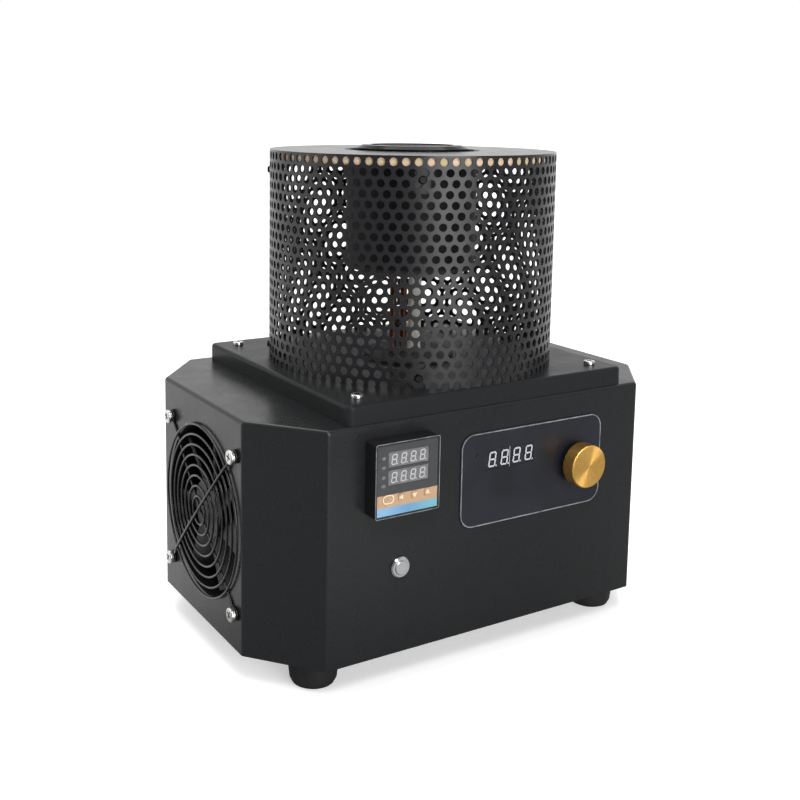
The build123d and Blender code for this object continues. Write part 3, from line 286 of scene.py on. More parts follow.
def plated_steel():
    # Nickel-plated steel: bright and slightly warm, with fine tool marks.
    material, tree, shader, place = start("nickel_plated_steel", "#c9c8c5", 0.24, 1.0)
    wander_roughness(tree, shader, place, 1.6, 0.18, 0.34)
    texture_bump(tree, shader, place, 0.7, 0.012)
    return material


def black_oxide_and_recess_shade():
    # Black-oxide steel: dull blue-black with an oily sheen. It also serves as the painted shade of the
    # bright screws' cross recesses.
    material, tree, shader, place = start("black_oxide_steel_and_recess_shade", "#1a1a1d", 0.4, 0.8)
    wander_roughness(tree, shader, place, 1.5, 0.34, 0.5)
    return material


def dipped_wire():
    # Steel wire with a thin dipped gloss coat: black, with a bright line along each ring.
    material, tree, shader, place = start("dipped_guard_wire", "#0e0e0f", 0.24)
    wander_roughness(tree, shader, place, 6.0, 0.2, 0.3)
    texture_bump(tree, shader, place, 1.4, 0.01)
    return material


def glass_filled_plastic(name, colour, roughness, grain=0.5):
    # Glass-filled moulded plastic: black, with the fine spark-eroded grain of its mould.
    material, tree, shader, place = start(name, colour, roughness)
    texture_bump(tree, shader, place, grain, 0.012, rounding=0.4)
    wander_roughness(tree, shader, place, 9.0, roughness - 0.04, roughness + 0.05)
    return material


def rubber():
    # Moulded nitrile rubber: matt black with a dusty bloom.
    material, tree, shader, place = start("moulded_rubber", "#0d0d0e", 0.72)
    speckle(tree, shader, place, 4.0, "#0b0b0c", "#131314")
    texture_bump(tree, shader, place, 0.8, 0.02)
    return material


def controller_overlay():
    # Printed polyester overlay of the controller: charcoal above, a tan band and a sky-blue band
    # that pales to the right, so the bands follow the height on the face.
    material, tree, shader, place = start("printed_controller_overlay", "#3b3c3e", 0.35)
    low, high = box("controller_case")
    parts = add(tree, "SeparateXYZ", links={"Vector": place})
    across = add(tree, "MapRange", values={"From Min": low.x * MM, "From Max": high.x * MM},
                 links={"Value": parts.outputs["X"]})
    sky = add(tree, "ValToRGB", links={"Fac": across.outputs["Result"]})
    sky.color_ramp.elements[0].color = linear("#6d93b1")
    sky.color_ramp.elements[0].position = 0.15
    sky.color_ramp.elements[1].color = linear("#6193a0")
    sky.color_ramp.elements[1].position = 0.85
    middle_sky = sky.color_ramp.elements.new(0.5)
    middle_sky.color = linear("#58809f")
    grain = add(tree, "TexNoise", values={"Scale": per_mm(2.5), "Detail": 2.0}, links={"Vector": place})
    charcoal = add(tree, "Mix", {"data_type": "RGBA"}, {"A": linear("#2e2f31"), "B": linear("#393a3c")},
                   {"Factor": grain.outputs["Fac"]})
    tan = add(tree, "Mix", {"data_type": "RGBA"}, {"A": linear("#997b5c"), "B": linear("#a88a6e")},
              {"Factor": grain.outputs["Fac"]})
    in_tan = add(tree, "Math", {"operation": "LESS_THAN"}, {1: (high.z - TAN_BAND_DROP) * MM},
                 {0: parts.outputs["Z"]})
    blue_top = high.z - BLUE_BAND_DROP
    in_blue = add(tree, "MapRange", {"interpolation_type": "SMOOTHSTEP"},
                  {"From Min": (blue_top + BAND_BLEND) * MM, "From Max": (blue_top - BAND_BLEND) * MM},
                  {"Value": parts.outputs["Z"]})
    upper = add(tree, "Mix", {"data_type": "RGBA"}, links={"Factor": in_tan.outputs[0]})
    tree.links.new(charcoal.outputs[2], upper.inputs[6])
    tree.links.new(tan.outputs[2], upper.inputs[7])
    whole = add(tree, "Mix", {"data_type": "RGBA"}, links={"Factor": in_blue.outputs["Result"]})
    tree.links.new(upper.outputs[2], whole.inputs[6])
    tree.links.new(sky.outputs["Color"], whole.inputs[7])
    tree.links.new(whole.outputs[2], shader.inputs["Base Color"])
    return material


def display_window():
    # Smoked window over unlit light-emitting digits: mid grey, smooth, faintly cloudy.
    material, tree, shader, place = start("smoked_display_window", "#5e5e5f", 0.22)
    speckle(tree, shader, place, 6.0, "#59595a", "#666668")
    return material


def panel_window():
    # The power display lies behind the dark overlay and shows only a shade lighter than it.
    material, tree, shader, place = start("dark_display_window", "#1f2126", 0.22, Specular_IOR_Level=0.3)
    speckle(tree, shader, place, 8.0, "#1d1f24", "#22242a")
    return material


def unlit_segment(name, colour):
    # Milky epoxy of a display segment when it is off.
    material, tree, shader, place = start(name, colour, 0.4)
    wander_roughness(tree, shader, place, 1.5, 0.35, 0.5)
    return material


def tan_key():
    # Embossed key of the printed overlay: the band's tan, a shade warmer where fingers rub it.
    material, tree, shader, place = start("tan_embossed_key", "#a08160", 0.42)
    speckle(tree, shader, place, 1.5, "#97795b", "#a8896c")
    return material


def key_symbol():
    # Cream ink of the keys' symbols, slightly worn.
    material, tree, shader, place = start("cream_symbol_ink", "#cfbf9f", 0.5)
    speckle(tree, shader, place, 0.9, "#c2b08e", "#d6c6aa")
    return material


def painted_rim_highlight():
    # Front edge of the controller's dark plastic case, coloured grey as a painted highlight that shows as a
    # thin pale line.
    material, tree, shader, place = start("controller_rim_painted_highlight", "#5f6163", 0.25)
    speckle(tree, shader, place, 7.0, "#4c4e50", "#737577")
    return material


def overlay_film():
    # Velvet polycarbonate film printed navy black on its back: deep, with a fine satin tooth.
    material, tree, shader, place = start("printed_polycarbonate_film", "#191a1f", 0.38,
                                          Specular_IOR_Level=0.3)
    speckle(tree, shader, place, 30.0, "#16171c", "#1c1e25")
    texture_bump(tree, shader, place, 0.35, 0.004)
    return material


def painted_film_highlight():
    # Clear edge of the film, coloured grey as a painted highlight for the light the edge gathers, so it
    # shows as a grey line.
    material, tree, shader, place = start("clear_film_painted_highlight", "#66686c", 0.25)
    speckle(tree, shader, place, 9.0, "#54565a", "#7a7c80")
    return material


def anodised_gold():
    # Turned and gold-anodised aluminium: the lathe's rings spread each light into a bright wedge.
    material, tree, shader, place = start("gold_anodised_aluminium", "#ecb963", 0.32, 0.9, Anisotropic=0.9)
    speckle(tree, shader, place, 2.5, "#e8b25b", "#f0bf6b")
    rings = add(tree, "Tangent", {"direction_type": "RADIAL", "axis": "Y"})
    tree.links.new(rings.outputs["Tangent"], shader.inputs["Tangent"])
    return material


def chrome():
    # Polished chrome on brass: clean mirror with faint handling haze.
    material, tree, shader, place = start("polished_chrome", "#d8d9da", 0.08, 1.0)
    wander_roughness(tree, shader, place, 3.0, 0.05, 0.14)
    return material


def satin_cap():
    # Satin stainless cap, bead blasted: pale and soft.
    material, tree, shader, place = start("blasted_stainless_cap", "#cfd0d1", 0.36, 1.0)
    texture_bump(tree, shader, place, 0.3, 0.01)
    return material


def circuit_board():
    # Glass-epoxy board under green solder mask, with darker tracks every 2.5 mm.
    material, tree, shader, place = start("solder_masked_board", "#1d5a38", 0.35)
    cells = add(tree, "TexBrick", values={"Scale": 1.0, "Brick Width": 2.5 * MM * 4, "Row Height": 2.5 * MM,
                                          "Mortar Size": 0.35 * MM, "Color1": linear("#1a5233"),
                                          "Color2": linear("#1f6240"), "Mortar": linear("#123d26")},
                links={"Vector": place})
    tree.links.new(cells.outputs["Color"], shader.inputs["Base Color"])
    return material


def pressed_zinc():
    # Zinc-plated pressed can: greyish metal with a cloudy spangle.
    material, tree, shader, place = start("zinc_plated_can", "#a9abad", 0.38, 1.0)
    speckle(tree, shader, place, 3.0, "#9b9da0", "#b8babc")
    return material


def brass():
    # Nickelled brass contact pins: pale yellow metal.
    material, tree, shader, place = start("contact_brass", "#c9ad6a", 0.28, 1.0)
    wander_roughness(tree, shader, place, 1.5, 0.2, 0.36)
    return material


def extruded_aluminium():
    # Mill-finish extrusion: pale metal with fine die lines along its length.
    material, tree, shader, place = start("extruded_aluminium", "#b3b5b8", 0.4, 1.0)
    stretched = add(tree, "Mapping", values={"Scale": (per_mm(0.8), per_mm(40.0), per_mm(0.8))},
                    links={"Vector": place})
    lines = add(tree, "TexNoise", values={"Scale": 1.0, "Detail": 2.0},
                links={"Vector": stretched.outputs["Vector"]})
    bump = add(tree, "Bump", values={"Distance": 0.02 * MM}, links={"Height": lines.outputs["Fac"]})
    tree.links.new(bump.outputs["Normal"], shader.inputs["Normal"])
    return material


def component_epoxy():
    # Black moulding epoxy of capacitors and transistors.
    material, tree, shader, place = start("component_epoxy", "#18191b", 0.5)
    texture_bump(tree, shader, place, 0.4, 0.01)
    return material


finishes = {
    "housing_black": powder_coat("powder_coated_housing", "#191a1b", 0.28),
    "cage_black": powder_coat("powder_coated_cage", "#18181a", 0.34),
    "disc_black": powder_coat("powder_coated_disc", "#1c1c1d", 0.22, 0.28),
    "collar_gloss": gloss_enamel(),
    "jacket_dark": mica_sleeve(),
    "insulating_board": fibre_board(),
    "ceramic": alumina(),
    "graphite": graphite(),
    "copper": copper(),
    "bright_steel": plated_steel(),
    "black_screws": black_oxide_and_recess_shade(),
    "guard_wire": dipped_wire(),
    "fan_plastic": glass_filled_plastic("fan_polyester", "#0f1011", 0.4),
    "rubber_black": rubber(),
    "controller_black": glass_filled_plastic("controller_abs", "#141415", 0.38),
    "display_grey": display_window(),
    "key_cream": tan_key(),
    "panel_film": overlay_film(),
    "knob_gold": anodised_gold(),
    "chrome": chrome(),
    "button_satin": satin_cap(),
    "circuit_board": circuit_board(),
    "pot_body": pressed_zinc(),
    "inlet_plastic": glass_filled_plastic("inlet_nylon", "#121213", 0.42),
    "rocker_plastic": glass_filled_plastic("rocker_polycarbonate", "#0f0f10", 0.28, 0.9),
    "pin_brass": brass(),
    "sink_aluminium": extruded_aluminium(),
    "component_black": component_epoxy(),
}
overlay = controller_overlay()
film_highlight_finish = painted_film_highlight()
panel_glass = panel_window()
bright_segment = unlit_segment("panel_digit_segment", "#a6a8ac")
grey_segment = unlit_segment("controller_digit_segment", "#9c9c9c")
dim_lamp = unlit_segment("status_lamp", "#5c5c5e")
symbol_ink = key_symbol()
rim_highlight_finish = painted_rim_highlight()
board_shade_finish = board_painted_shade()
deck_coat = powder_coat("powder_coated_deck", "#1f2021", 0.3, 0.08)

# most pieces take their slot's finish, and a few have one of their own
own_finish = {
    "controller_face": overlay,
    "power_display": panel_glass,
    # the base board and lead plate are painted brown-black as shade inside the cage
    "coil_base_board": board_shade_finish,
    "lead_plate": board_shade_finish,
    "deck_plate": deck_coat,
}
for subpart in frame["record"]["subparts"]:
    node = subpart["node"]
    for held in frame["nodes"][node].material_slots:
        held.material = own_finish.get(node, finishes[subpart["material_slot"]])


# ---------------------------------------------------------------- making pieces
QUARTER_TURN = Matrix.Rotation(math.pi / 2, 4, "Z")


def finish_piece(bm, name, body, slot, material=None, replaced=(), corner=35.0):
    """Makes a shape drawn in mm into a piece of the object that rides on a body."""
    bmesh.ops.scale(bm, vec=(MM, MM, MM), verts=bm.verts)
    mesh = bpy.data.meshes.new(name)
    bm.to_mesh(mesh)
    bm.free()
    mesh.materials.append(material or finishes[slot])
    mesh.shade_smooth()
    mesh.set_sharp_from_angle(angle=math.radians(corner))
    piece = bpy.data.objects.new(name, mesh)
    bpy.context.scene.collection.objects.link(piece)
    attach(piece, body)
    if replaced:
        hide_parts(*replaced)
    return piece


def edges_of(verts):
    """The edges that some verts carry."""
    return list({edge for vert in verts for edge in vert.link_edges})


def facing(point, direction):
    """A place at a point whose Z axis looks along a direction."""
    return Matrix.Translation(point) @ direction.to_track_quat("Z", "Y").to_matrix().to_4x4()


def ring(bm, centre, axis, radius, wire_radius, steps=RING_STEPS, sides=WIRE_SIDES):
    """A closed ring of round wire."""
    place = facing(centre, axis)
    sideways = place.to_3x3() @ Vector((1, 0, 0))
    across = place.to_3x3() @ Vector((0, 1, 0))
    section = bmesh.ops.create_circle(bm, segments=sides, radius=wire_radius,
                                      matrix=facing(centre + sideways * radius, across))
    bmesh.ops.spin(bm, geom=section["verts"] + edges_of(section["verts"]), cent=centre, axis=axis,
                   angle=math.tau, steps=steps, use_merge=True)


def wire(bm, points, radius, sides=WIRE_SIDES):
    """Round wire along a few points, square at its ends and mitred at its bends."""
    path = [Vector(point) for point in points]
    runs = [(after - before).normalized() for before, after in zip(path, path[1:])]
    tangents = [runs[0], *((a + b).normalized() for a, b in zip(runs, runs[1:])), runs[-1]]
    places = [facing(point, tangent) for point, tangent in zip(path, tangents)]
    section = bmesh.ops.create_circle(bm, cap_ends=True, segments=sides, radius=radius, matrix=places[0])
    face = section["verts"][0].link_faces[0]
    for before, after in zip(places, places[1:]):
        moved = bmesh.ops.extrude_face_region(bm, geom=[face])["geom"]
        face = next(item for item in moved if isinstance(item, bmesh.types.BMFace))
        bmesh.ops.transform(bm, matrix=after @ before.inverted(), verts=face.verts)


def cross_head(bm, recess_shade, place, radius, rise):
    """A flat screw head with rounded shoulders on the place's XY plane, and a thin dark cross laid on its
    top as the painted shade of its recess.
    """
    shoulder = min(rise, radius) * SHOULDER_SHARE
    arc = [math.radians(angle) for angle in (90, 60, 30, 0)]
    profile = [bm.verts.new((radius - shoulder + shoulder * math.cos(angle), 0,
                             rise - shoulder + shoulder * math.sin(angle))) for angle in arc]
    profile.append(bm.verts.new((radius, 0, 0)))
    top = bm.verts.new((0, 0, rise))
    chain = [top, *profile]
    edges = [bm.edges.new(pair) for pair in zip(chain, chain[1:])]
    bmesh.ops.spin(bm, geom=chain + edges, cent=(0, 0, 0), axis=(0, 0, 1), angle=math.tau,
                   steps=HEAD_STEPS, use_merge=True)
    verts = grow_to_island(top)
    bmesh.ops.remove_doubles(bm, verts=verts, dist=0.001)
    bmesh.ops.transform(bm, matrix=place, verts=[vert for vert in verts if vert.is_valid])
    for turn in (0, math.pi / 2):
        arm = place @ Matrix.Translation((0, 0, rise)) @ Matrix.Rotation(turn, 4, "Z")
        bar(recess_shade, arm, radius * CROSS_LENGTH_SHARE, radius * CROSS_WIDTH_SHARE, CROSS_RISE, tip=False)


def grow_to_island(start_vert):
    """All verts that are joined to one vert."""
    found, waiting = {start_vert}, [start_vert]
    while waiting:
        for link in waiting.pop().link_edges:
            for other in link.verts:
                if other not in found:
                    found.add(other)
                    waiting.append(other)
    return list(found)


def bar(bm, place, length, stroke, thickness, tip=True):
    """One bar of a segment digit: a flat six-sided strip with pointed ends, raised by its thickness."""
    shape = bmesh.ops.create_circle(bm, cap_ends=True, segments=6, radius=1.0, matrix=QUARTER_TURN)
    for vert in shape["verts"]:
        side = math.copysign(1, vert.co.x)
        is_end = abs(vert.co.y) < 0.1
        shoulder = length / 2 if is_end or not tip else length / 2 - stroke / 2
        vert.co = (side * shoulder, 0 if is_end else math.copysign(stroke / 2, vert.co.y), 0)
    face = shape["verts"][0].link_faces[0]
    raised = bmesh.ops.extrude_face_region(bm, geom=[face])["geom"]
    top = next(item for item in raised if isinstance(item, bmesh.types.BMFace))
    bmesh.ops.translate(bm, vec=(0, 0, thickness), verts=top.verts)
    verts = list({*shape["verts"], *top.verts})
    bmesh.ops.transform(bm, matrix=place, verts=verts)
    return verts


def digit(bm, place, width, height, stroke, dot=True):
    """A seven-segment figure eight with its point, leaning to the right."""
    lean = Matrix.Identity(4)
    lean[0][1] = math.tan(SEGMENT_SLANT)
    reach = stroke * 0.5
    verts = []
    for level in (0.0, 0.5, 1.0):
        at = Matrix.Translation((width / 2, reach + level * (height - stroke), 0))
        verts += bar(bm, at, width - stroke * LEVEL_SHORTENING, stroke, PRINT_THICKNESS)
    for side in (0.0, 1.0):
        for level in (0.25, 0.75):
            at = Matrix.Translation((reach + side * (width - stroke), reach + level * (height - stroke), 0))
            turned = at @ QUARTER_TURN
            length = (height - stroke) / 2 - stroke * UPRIGHT_SHORTENING
            verts += bar(bm, turned, length, stroke, PRINT_THICKNESS)
    if dot:
        at = Matrix.Translation((width + stroke * POINT_GAP, reach, 0))
        verts += bar(bm, at, stroke, stroke, PRINT_THICKNESS, tip=False)
    bmesh.ops.transform(bm, matrix=place @ lean, verts=list(set(verts)))


def on_front(x, depth, z):
    """A place on the front whose X runs right, Y runs up and Z comes out of the face."""
    return Matrix(((1, 0, 0, x), (0, 0, -1, depth), (0, 1, 0, z), (0, 0, 0, 1)))


# ---------------------------------------------------------------- cage
def perforated_cell(bm, centre, holed):
    """One six-sided cell of the sheet, with or without its round hole, flat in the XZ plane."""
    place = Matrix.Translation(centre) @ Matrix.Rotation(math.pi / 2, 4, "X")
    corner_reach = HOLE_PITCH / math.sqrt(3)
    outline = bmesh.ops.create_circle(bm, cap_ends=not holed, segments=12, radius=corner_reach)["verts"]
    for vert in outline:
        # every second point is the middle of a flat side
        if round(math.degrees(math.atan2(vert.co.x, vert.co.y))) % 60:
            vert.co *= math.cos(math.radians(30))
    if holed:
        hole = bmesh.ops.create_circle(bm, segments=HOLE_SIDES, radius=HOLE_DIAMETER / 2)["verts"]
        bmesh.ops.bridge_loops(bm, edges=edges_of(outline + hole))
        outline = outline + hole
    bmesh.ops.transform(bm, matrix=place, verts=outline)


def make_cage_sheet():
    low, high = box("cage")
    radius = (high.x - low.x) / 2
    axis = middle("cage")
    row_pitch = HOLE_PITCH * math.sqrt(3) / 2
    bm = bmesh.new()
    for row in range(-1, HOLE_ROWS + 1):
        sideways = HOLE_PITCH / 2 if row % 2 else 0.0
        centre = Vector((sideways, 0, high.z - FIRST_ROW_DROP - row * row_pitch))
        perforated_cell(bm, centre, 0 <= row < HOLE_ROWS)
    bmesh.ops.remove_doubles(bm, verts=bm.verts, dist=CELL_WELD)
    # the flat column of cells is rolled onto the cylinder and repeated round it
    for vert in bm.verts:
        turn = vert.co.x / HOLE_PITCH * math.tau / HOLE_COLUMNS
        vert.co = (axis.x + radius * math.sin(turn), axis.y - radius * math.cos(turn), vert.co.z)
    bmesh.ops.spin(bm, geom=bm.verts[:] + bm.edges[:] + bm.faces[:], cent=axis, axis=(0, 0, 1),
                   angle=math.tau * (HOLE_COLUMNS - 1) / HOLE_COLUMNS, steps=HOLE_COLUMNS - 1,
                   use_duplicate=True)
    bmesh.ops.remove_doubles(bm, verts=bm.verts, dist=COLUMN_WELD)
    for height, direction in ((high.z, 1), (low.z, -1)):
        everything = bm.verts[:] + bm.edges[:] + bm.faces[:]
        bmesh.ops.bisect_plane(bm, geom=everything, dist=0.001, plane_co=(0, 0, height),
                               plane_no=(0, 0, direction), clear_outer=True)
    bmesh.ops.recalc_face_normals(bm, faces=bm.faces)
    bmesh.ops.solidify(bm, geom=bm.faces[:], thickness=SHEET_THICKNESS)
    finish_piece(bm, "cage_sheet", "furnace", "cage_black", replaced=["cage"])


# ---------------------------------------------------------------- fan guard and screws
def make_guard():
    low, high = box("fan_screws")
    fan = middle("fan_frame")
    wall = box("housing_shell")[0].x
    outward = Vector((-1, 0, 0))
    reach = (high.y - low.y) / 2 - FAN_SCREW_HEAD
    wire_radius = GUARD_WIRE / 2
    ring_outer = GUARD_RADIUS - wire_radius
    bm = bmesh.new()

    def stand(radius):
        """How far the dome's wires stand from the wall at a radius."""
        return GUARD_OUTER_STAND + GUARD_DOME * (1 - (radius / ring_outer) ** 2)

    for index in range(GUARD_RINGS):
        radius = ring_outer - index * GUARD_RING_PITCH
        centre = Vector((wall - stand(radius), fan.y, fan.z))
        ring(bm, centre, outward, radius, wire_radius)
    eye = reach * math.sqrt(2)
    eye_stand = box("fan_guard")[1].x - wire_radius
    for diagonal, layer in ((-1, -GUARD_LAYER), (1, GUARD_LAYER)):
        for end in (1, -1):
            along = Vector((0, end, end * diagonal)) / math.sqrt(2)
            points = []
            for radius in (*GUARD_BENDS, ring_outer):
                points.append(Vector((wall - stand(radius) + layer, fan.y, fan.z)) + along * radius)
            seat = Vector((eye_stand, fan.y, fan.z))
            points.append(seat + along * (eye - GUARD_EYE_RADIUS))
            wire(bm, points, wire_radius)
            ring(bm, seat + along * eye, outward, GUARD_EYE_RADIUS, wire_radius, GUARD_EYE_STEPS)
    bmesh.ops.recalc_face_normals(bm, faces=bm.faces)
    finish_piece(bm, "guard_wires", "furnace", "guard_wire", replaced=["fan_guard"], corner=60.0)


def finish_screws(bm, recess_shade, name):
    """The heads and shanks in bright steel, and the dark crosses laid on the heads as the recesses' painted
    shade, as pieces of their own.
    """
    for part in (bm, recess_shade):
        bmesh.ops.recalc_face_normals(part, faces=part.faces)
    finish_piece(bm, name + "_heads", "furnace", "bright_steel", replaced=[name + "s"])
    # the dark crosses are painted shade, standing in for the hollow of each cross recess
    finish_piece(recess_shade, name + "_recess_shade", "furnace", "black_screws")


def make_fan_screws():
    low, high = box("fan_screws")
    bm, recess_shade = bmesh.new(), bmesh.new()
    for y in (low.y + FAN_SCREW_HEAD, high.y - FAN_SCREW_HEAD):
        for z in (low.z + FAN_SCREW_HEAD, high.z - FAN_SCREW_HEAD):
            seat = Vector((low.x + FAN_SCREW_RISE, y, z))
            # each head was left at an angle of its own
            turn = Matrix.Rotation(math.radians(17 * y + 31 * z), 4, "Z")
            place = facing(seat, Vector((-1, 0, 0))) @ turn
            cross_head(bm, recess_shade, place, FAN_SCREW_HEAD, FAN_SCREW_RISE)
            wire(bm, [seat, (high.x, y, z)], FAN_SCREW_SHANK, SHANK_SIDES)
    finish_screws(bm, recess_shade, "fan_screw")


def make_deck_screws():
    low, high = box("deck_screws")
    bm, recess_shade = bmesh.new(), bmesh.new()
    for x in (low.x + DECK_SCREW_HEAD, high.x - DECK_SCREW_HEAD):
        for y in (low.y + DECK_SCREW_HEAD, high.y - DECK_SCREW_HEAD):
            seat = Vector((x, y, high.z - DECK_SCREW_RISE))
            # each head was left at an angle of its own
            turn = Matrix.Rotation(math.radians(23 * x + 11 * y), 4, "Z")
            place = facing(seat, Vector((0, 0, 1))) @ turn
            cross_head(bm, recess_shade, place, DECK_SCREW_HEAD, DECK_SCREW_RISE)
            wire(bm, [seat, (x, y, low.z)], DECK_SCREW_SHANK, SHANK_SIDES)
    finish_screws(bm, recess_shade, "deck_screw")


# ---------------------------------------------------------------- displays and panel
def make_power_digits():
    front = box("power_display")[0].y
    bm = bmesh.new()
    first = PANEL_DIGITS_X - 2 * PANEL_DIGIT_PITCH + (PANEL_DIGIT_PITCH - PANEL_DIGIT_WIDTH) / 2
    for index in range(DIGIT_COUNT):
        place = on_front(first + index * PANEL_DIGIT_PITCH, front, PANEL_DIGITS_Z - PANEL_DIGIT_HEIGHT / 2)
        digit(bm, place, PANEL_DIGIT_WIDTH, PANEL_DIGIT_HEIGHT, PANEL_DIGIT_STROKE)
    # the upright seam between the display's two blocks of digits
    seam = on_front(PANEL_DIGITS_X - PANEL_SEAM_SHIFT, front, PANEL_DIGITS_Z) @ QUARTER_TURN
    bar(bm, seam, PANEL_SEAM_HEIGHT, PANEL_SEAM_WIDTH, PRINT_THICKNESS / 2, tip=False)
    bmesh.ops.recalc_face_normals(bm, faces=bm.faces)
    finish_piece(bm, "power_digits", "furnace", "display_grey", bright_segment, corner=20.0)


def make_controller_digits():
    low, high = box("controller_displays")
    bm = bmesh.new()
    first = (low.x + high.x) / 2 - 2 * CONTROLLER_DIGIT_PITCH + CONTROLLER_DIGIT_INSET
    rise = (CONTROLLER_WINDOW_HEIGHT - CONTROLLER_DIGIT_HEIGHT) / 2
    for bottom in (low.z, high.z - CONTROLLER_WINDOW_HEIGHT):
        for index in range(DIGIT_COUNT):
            place = on_front(first + index * CONTROLLER_DIGIT_PITCH, low.y, bottom + rise)
            digit(bm, place, CONTROLLER_DIGIT_WIDTH, CONTROLLER_DIGIT_HEIGHT, CONTROLLER_DIGIT_STROKE)
    bmesh.ops.recalc_face_normals(bm, faces=bm.faces)
    finish_piece(bm, "controller_digits", "furnace", "display_grey", grey_segment, corner=20.0)


def make_status_lamps():
    low, high = box("controller_case")
    face = box("controller_face")[0].y
    bm = bmesh.new()
    for drop in STATUS_LAMP_DROPS:
        place = on_front(low.x + STATUS_LAMP_INSET, face, high.z - drop)
        bar(bm, place, STATUS_LAMP_WIDTH, STATUS_LAMP_HEIGHT, PRINT_THICKNESS)
    bmesh.ops.recalc_face_normals(bm, faces=bm.faces)
    finish_piece(bm, "status_lamps", "furnace", "display_grey", dim_lamp, corner=20.0)


def raised_frame(bm, place, width, height, corner, line_width):
    """A thin raised line along the edge of a rounded rectangle."""
    sheet = bmesh.ops.create_grid(bm, x_segments=1, y_segments=1, size=0.5)
    bmesh.ops.scale(bm, vec=(width, height, 1), verts=sheet["verts"])
    bmesh.ops.bevel(bm, geom=sheet["verts"], offset=corner, segments=8, profile=0.5,
                    affect="VERTICES", material=-1)
    band = bmesh.ops.inset_region(bm, faces=bm.faces[:], thickness=line_width, use_boundary=True,
                                  use_even_offset=True)["faces"]
    bmesh.ops.delete(bm, geom=[face for face in bm.faces if face not in band], context="FACES")
    raised = bmesh.ops.extrude_face_region(bm, geom=bm.faces[:])["geom"]
    verts = [item for item in raised if isinstance(item, bmesh.types.BMVert)]
    bmesh.ops.translate(bm, vec=(0, 0, PRINT_THICKNESS), verts=verts)
    bmesh.ops.transform(bm, matrix=place, verts=bm.verts)
    bmesh.ops.recalc_face_normals(bm, faces=bm.faces)


def make_panel_line():
    low, high = box("control_panel")
    centre = (low + high) / 2
    width = high.x - low.x - 2 * PANEL_LINE_INSET
    height = high.z - low.z - 2 * PANEL_LINE_INSET
    bm = bmesh.new()
    raised_frame(bm, on_front(centre.x, low.y, centre.z), width, height, PANEL_CORNER, PANEL_LINE_WIDTH)
    # the grey line along the panel's edge is a painted highlight
    finish_piece(bm, "panel_line", "furnace", "panel_film", film_highlight_finish)


def make_controller_rim():
    low, high = box("controller_case")
    centre = (low + high) / 2
    bm = bmesh.new()
    raised_frame(bm, on_front(centre.x, low.y, centre.z), high.x - low.x, high.z - low.z,
                 CONTROLLER_CORNER, RIM_LINE_WIDTH)
    # the rim's pale grey is a painted highlight along the case's edge
    finish_piece(bm, "controller_rim", "furnace", "controller_black", rim_highlight_finish)


def make_key_symbols():
    """A cream oval ring, and arrowheads to the left, down and up, one on each key."""
    oval = bmesh.new()
    low, high = box("key_menu")
    place = on_front(middle("key_menu").x, low.y, middle("key_menu").z)
    width, height = high.x - low.x, high.z - low.z
    raised_frame(oval, place, width, height, height / 2 - OVAL_FLAT, SYMBOL_RING_WIDTH)
    finish_piece(oval, "menu_symbol", "key_menu_body", "key_cream", symbol_ink)
    for name, turn in (("left", 90), ("down", 180), ("up", 0)):
        node = "key_" + name
        bm = bmesh.new()
        place = on_front(middle(node).x, box(node)[0].y, middle(node).z)
        place = place @ Matrix.Rotation(math.radians(turn), 4, "Z")
        corners = bmesh.ops.create_circle(bm, cap_ends=True, segments=3, radius=KEY_SYMBOL_REACH)
        raised = bmesh.ops.extrude_face_region(bm, geom=corners["verts"][0].link_faces[:])["geom"]
        verts = [item for item in raised if isinstance(item, bmesh.types.BMVert)]
        bmesh.ops.translate(bm, vec=(0, 0, PRINT_THICKNESS), verts=verts)
        bmesh.ops.transform(bm, matrix=place, verts=bm.verts)
        bmesh.ops.recalc_face_normals(bm, faces=bm.faces)
        finish_piece(bm, name + "_symbol", node + "_body", "key_cream", symbol_ink)


make_cage_sheet()
make_guard()
make_fan_screws()
make_deck_screws()
make_power_digits()
make_controller_digits()
make_status_lamps()
make_controller_rim()
make_key_symbols()
make_panel_line()


# ---------------------------------------------------------------- studio
# The room's light part lies behind the object and a little to its right, its dark part in front of it.
LIGHT_SIDE = Vector((0.3, 0.95, 0.0))
# how far towards the light side the room starts to brighten and is fully bright, and its dim level
DARK_EDGE = -0.8
LIGHT_EDGE = 0.6
DIM_LEVEL = 0.2
# the pool of light painted on the floor before the object, in metres
POOL_PLACE = (-0.05, -0.42, 0.0)
POOL_REACH = 0.32
POOL_LEVEL = 0.55
# the floor's half width in metres, and its glow for the camera: near the object, and from where to
# where it grows to full white
FLOOR_HALF = 20.0
NEAR_GLOW = 0.45
GLOW_STARTS = 0.9
GLOW_FULL = 3.0
LAMP_AIM = Vector((0, 0, 0.16))
# name, place in metres, width in metres, power in watts
LAMPS = (
    ("overhead_softbox", (0.15, 0.35, 1.35), 1.1, 12.0),
    ("left_softbox", (-1.4, 0.7, 0.7), 0.9, 5.0),
    ("high_front_fill", (-0.5, -1.1, 1.5), 0.5, 14.0),
    ("front_softbox", (-0.12, -1.45, 0.3), 0.9, 20.0),
)
# the photograph's view: where its lens stood in metres, how it was turned, and its lens
CAMERA_PLACE = (-0.4469, -0.6638, 0.3709)
CAMERA_YAW = math.radians(30.42)
CAMERA_PITCH = math.radians(7.93)
CAMERA_ROLL = math.radians(0.60)
CAMERA_LENS = 49.23
CAMERA_SHIFT = (0.075, -0.175)


def backdrop_level(tree, place):
    """How bright the room is in a direction or at a place on the floor: dim in front, bright behind."""
    towards = add(tree, "VectorMath", {"operation": "NORMALIZE"}, links={0: place})
    facing_light = add(tree, "VectorMath", {"operation": "DOT_PRODUCT"}, {1: LIGHT_SIDE},
                       {0: towards.outputs["Vector"]})
    return add(tree, "MapRange", {"interpolation_type": "SMOOTHSTEP"},
               {"From Min": DARK_EDGE, "From Max": LIGHT_EDGE, "To Min": DIM_LEVEL, "To Max": 1.0},
               {"Value": facing_light.outputs["Value"]}).outputs["Result"]


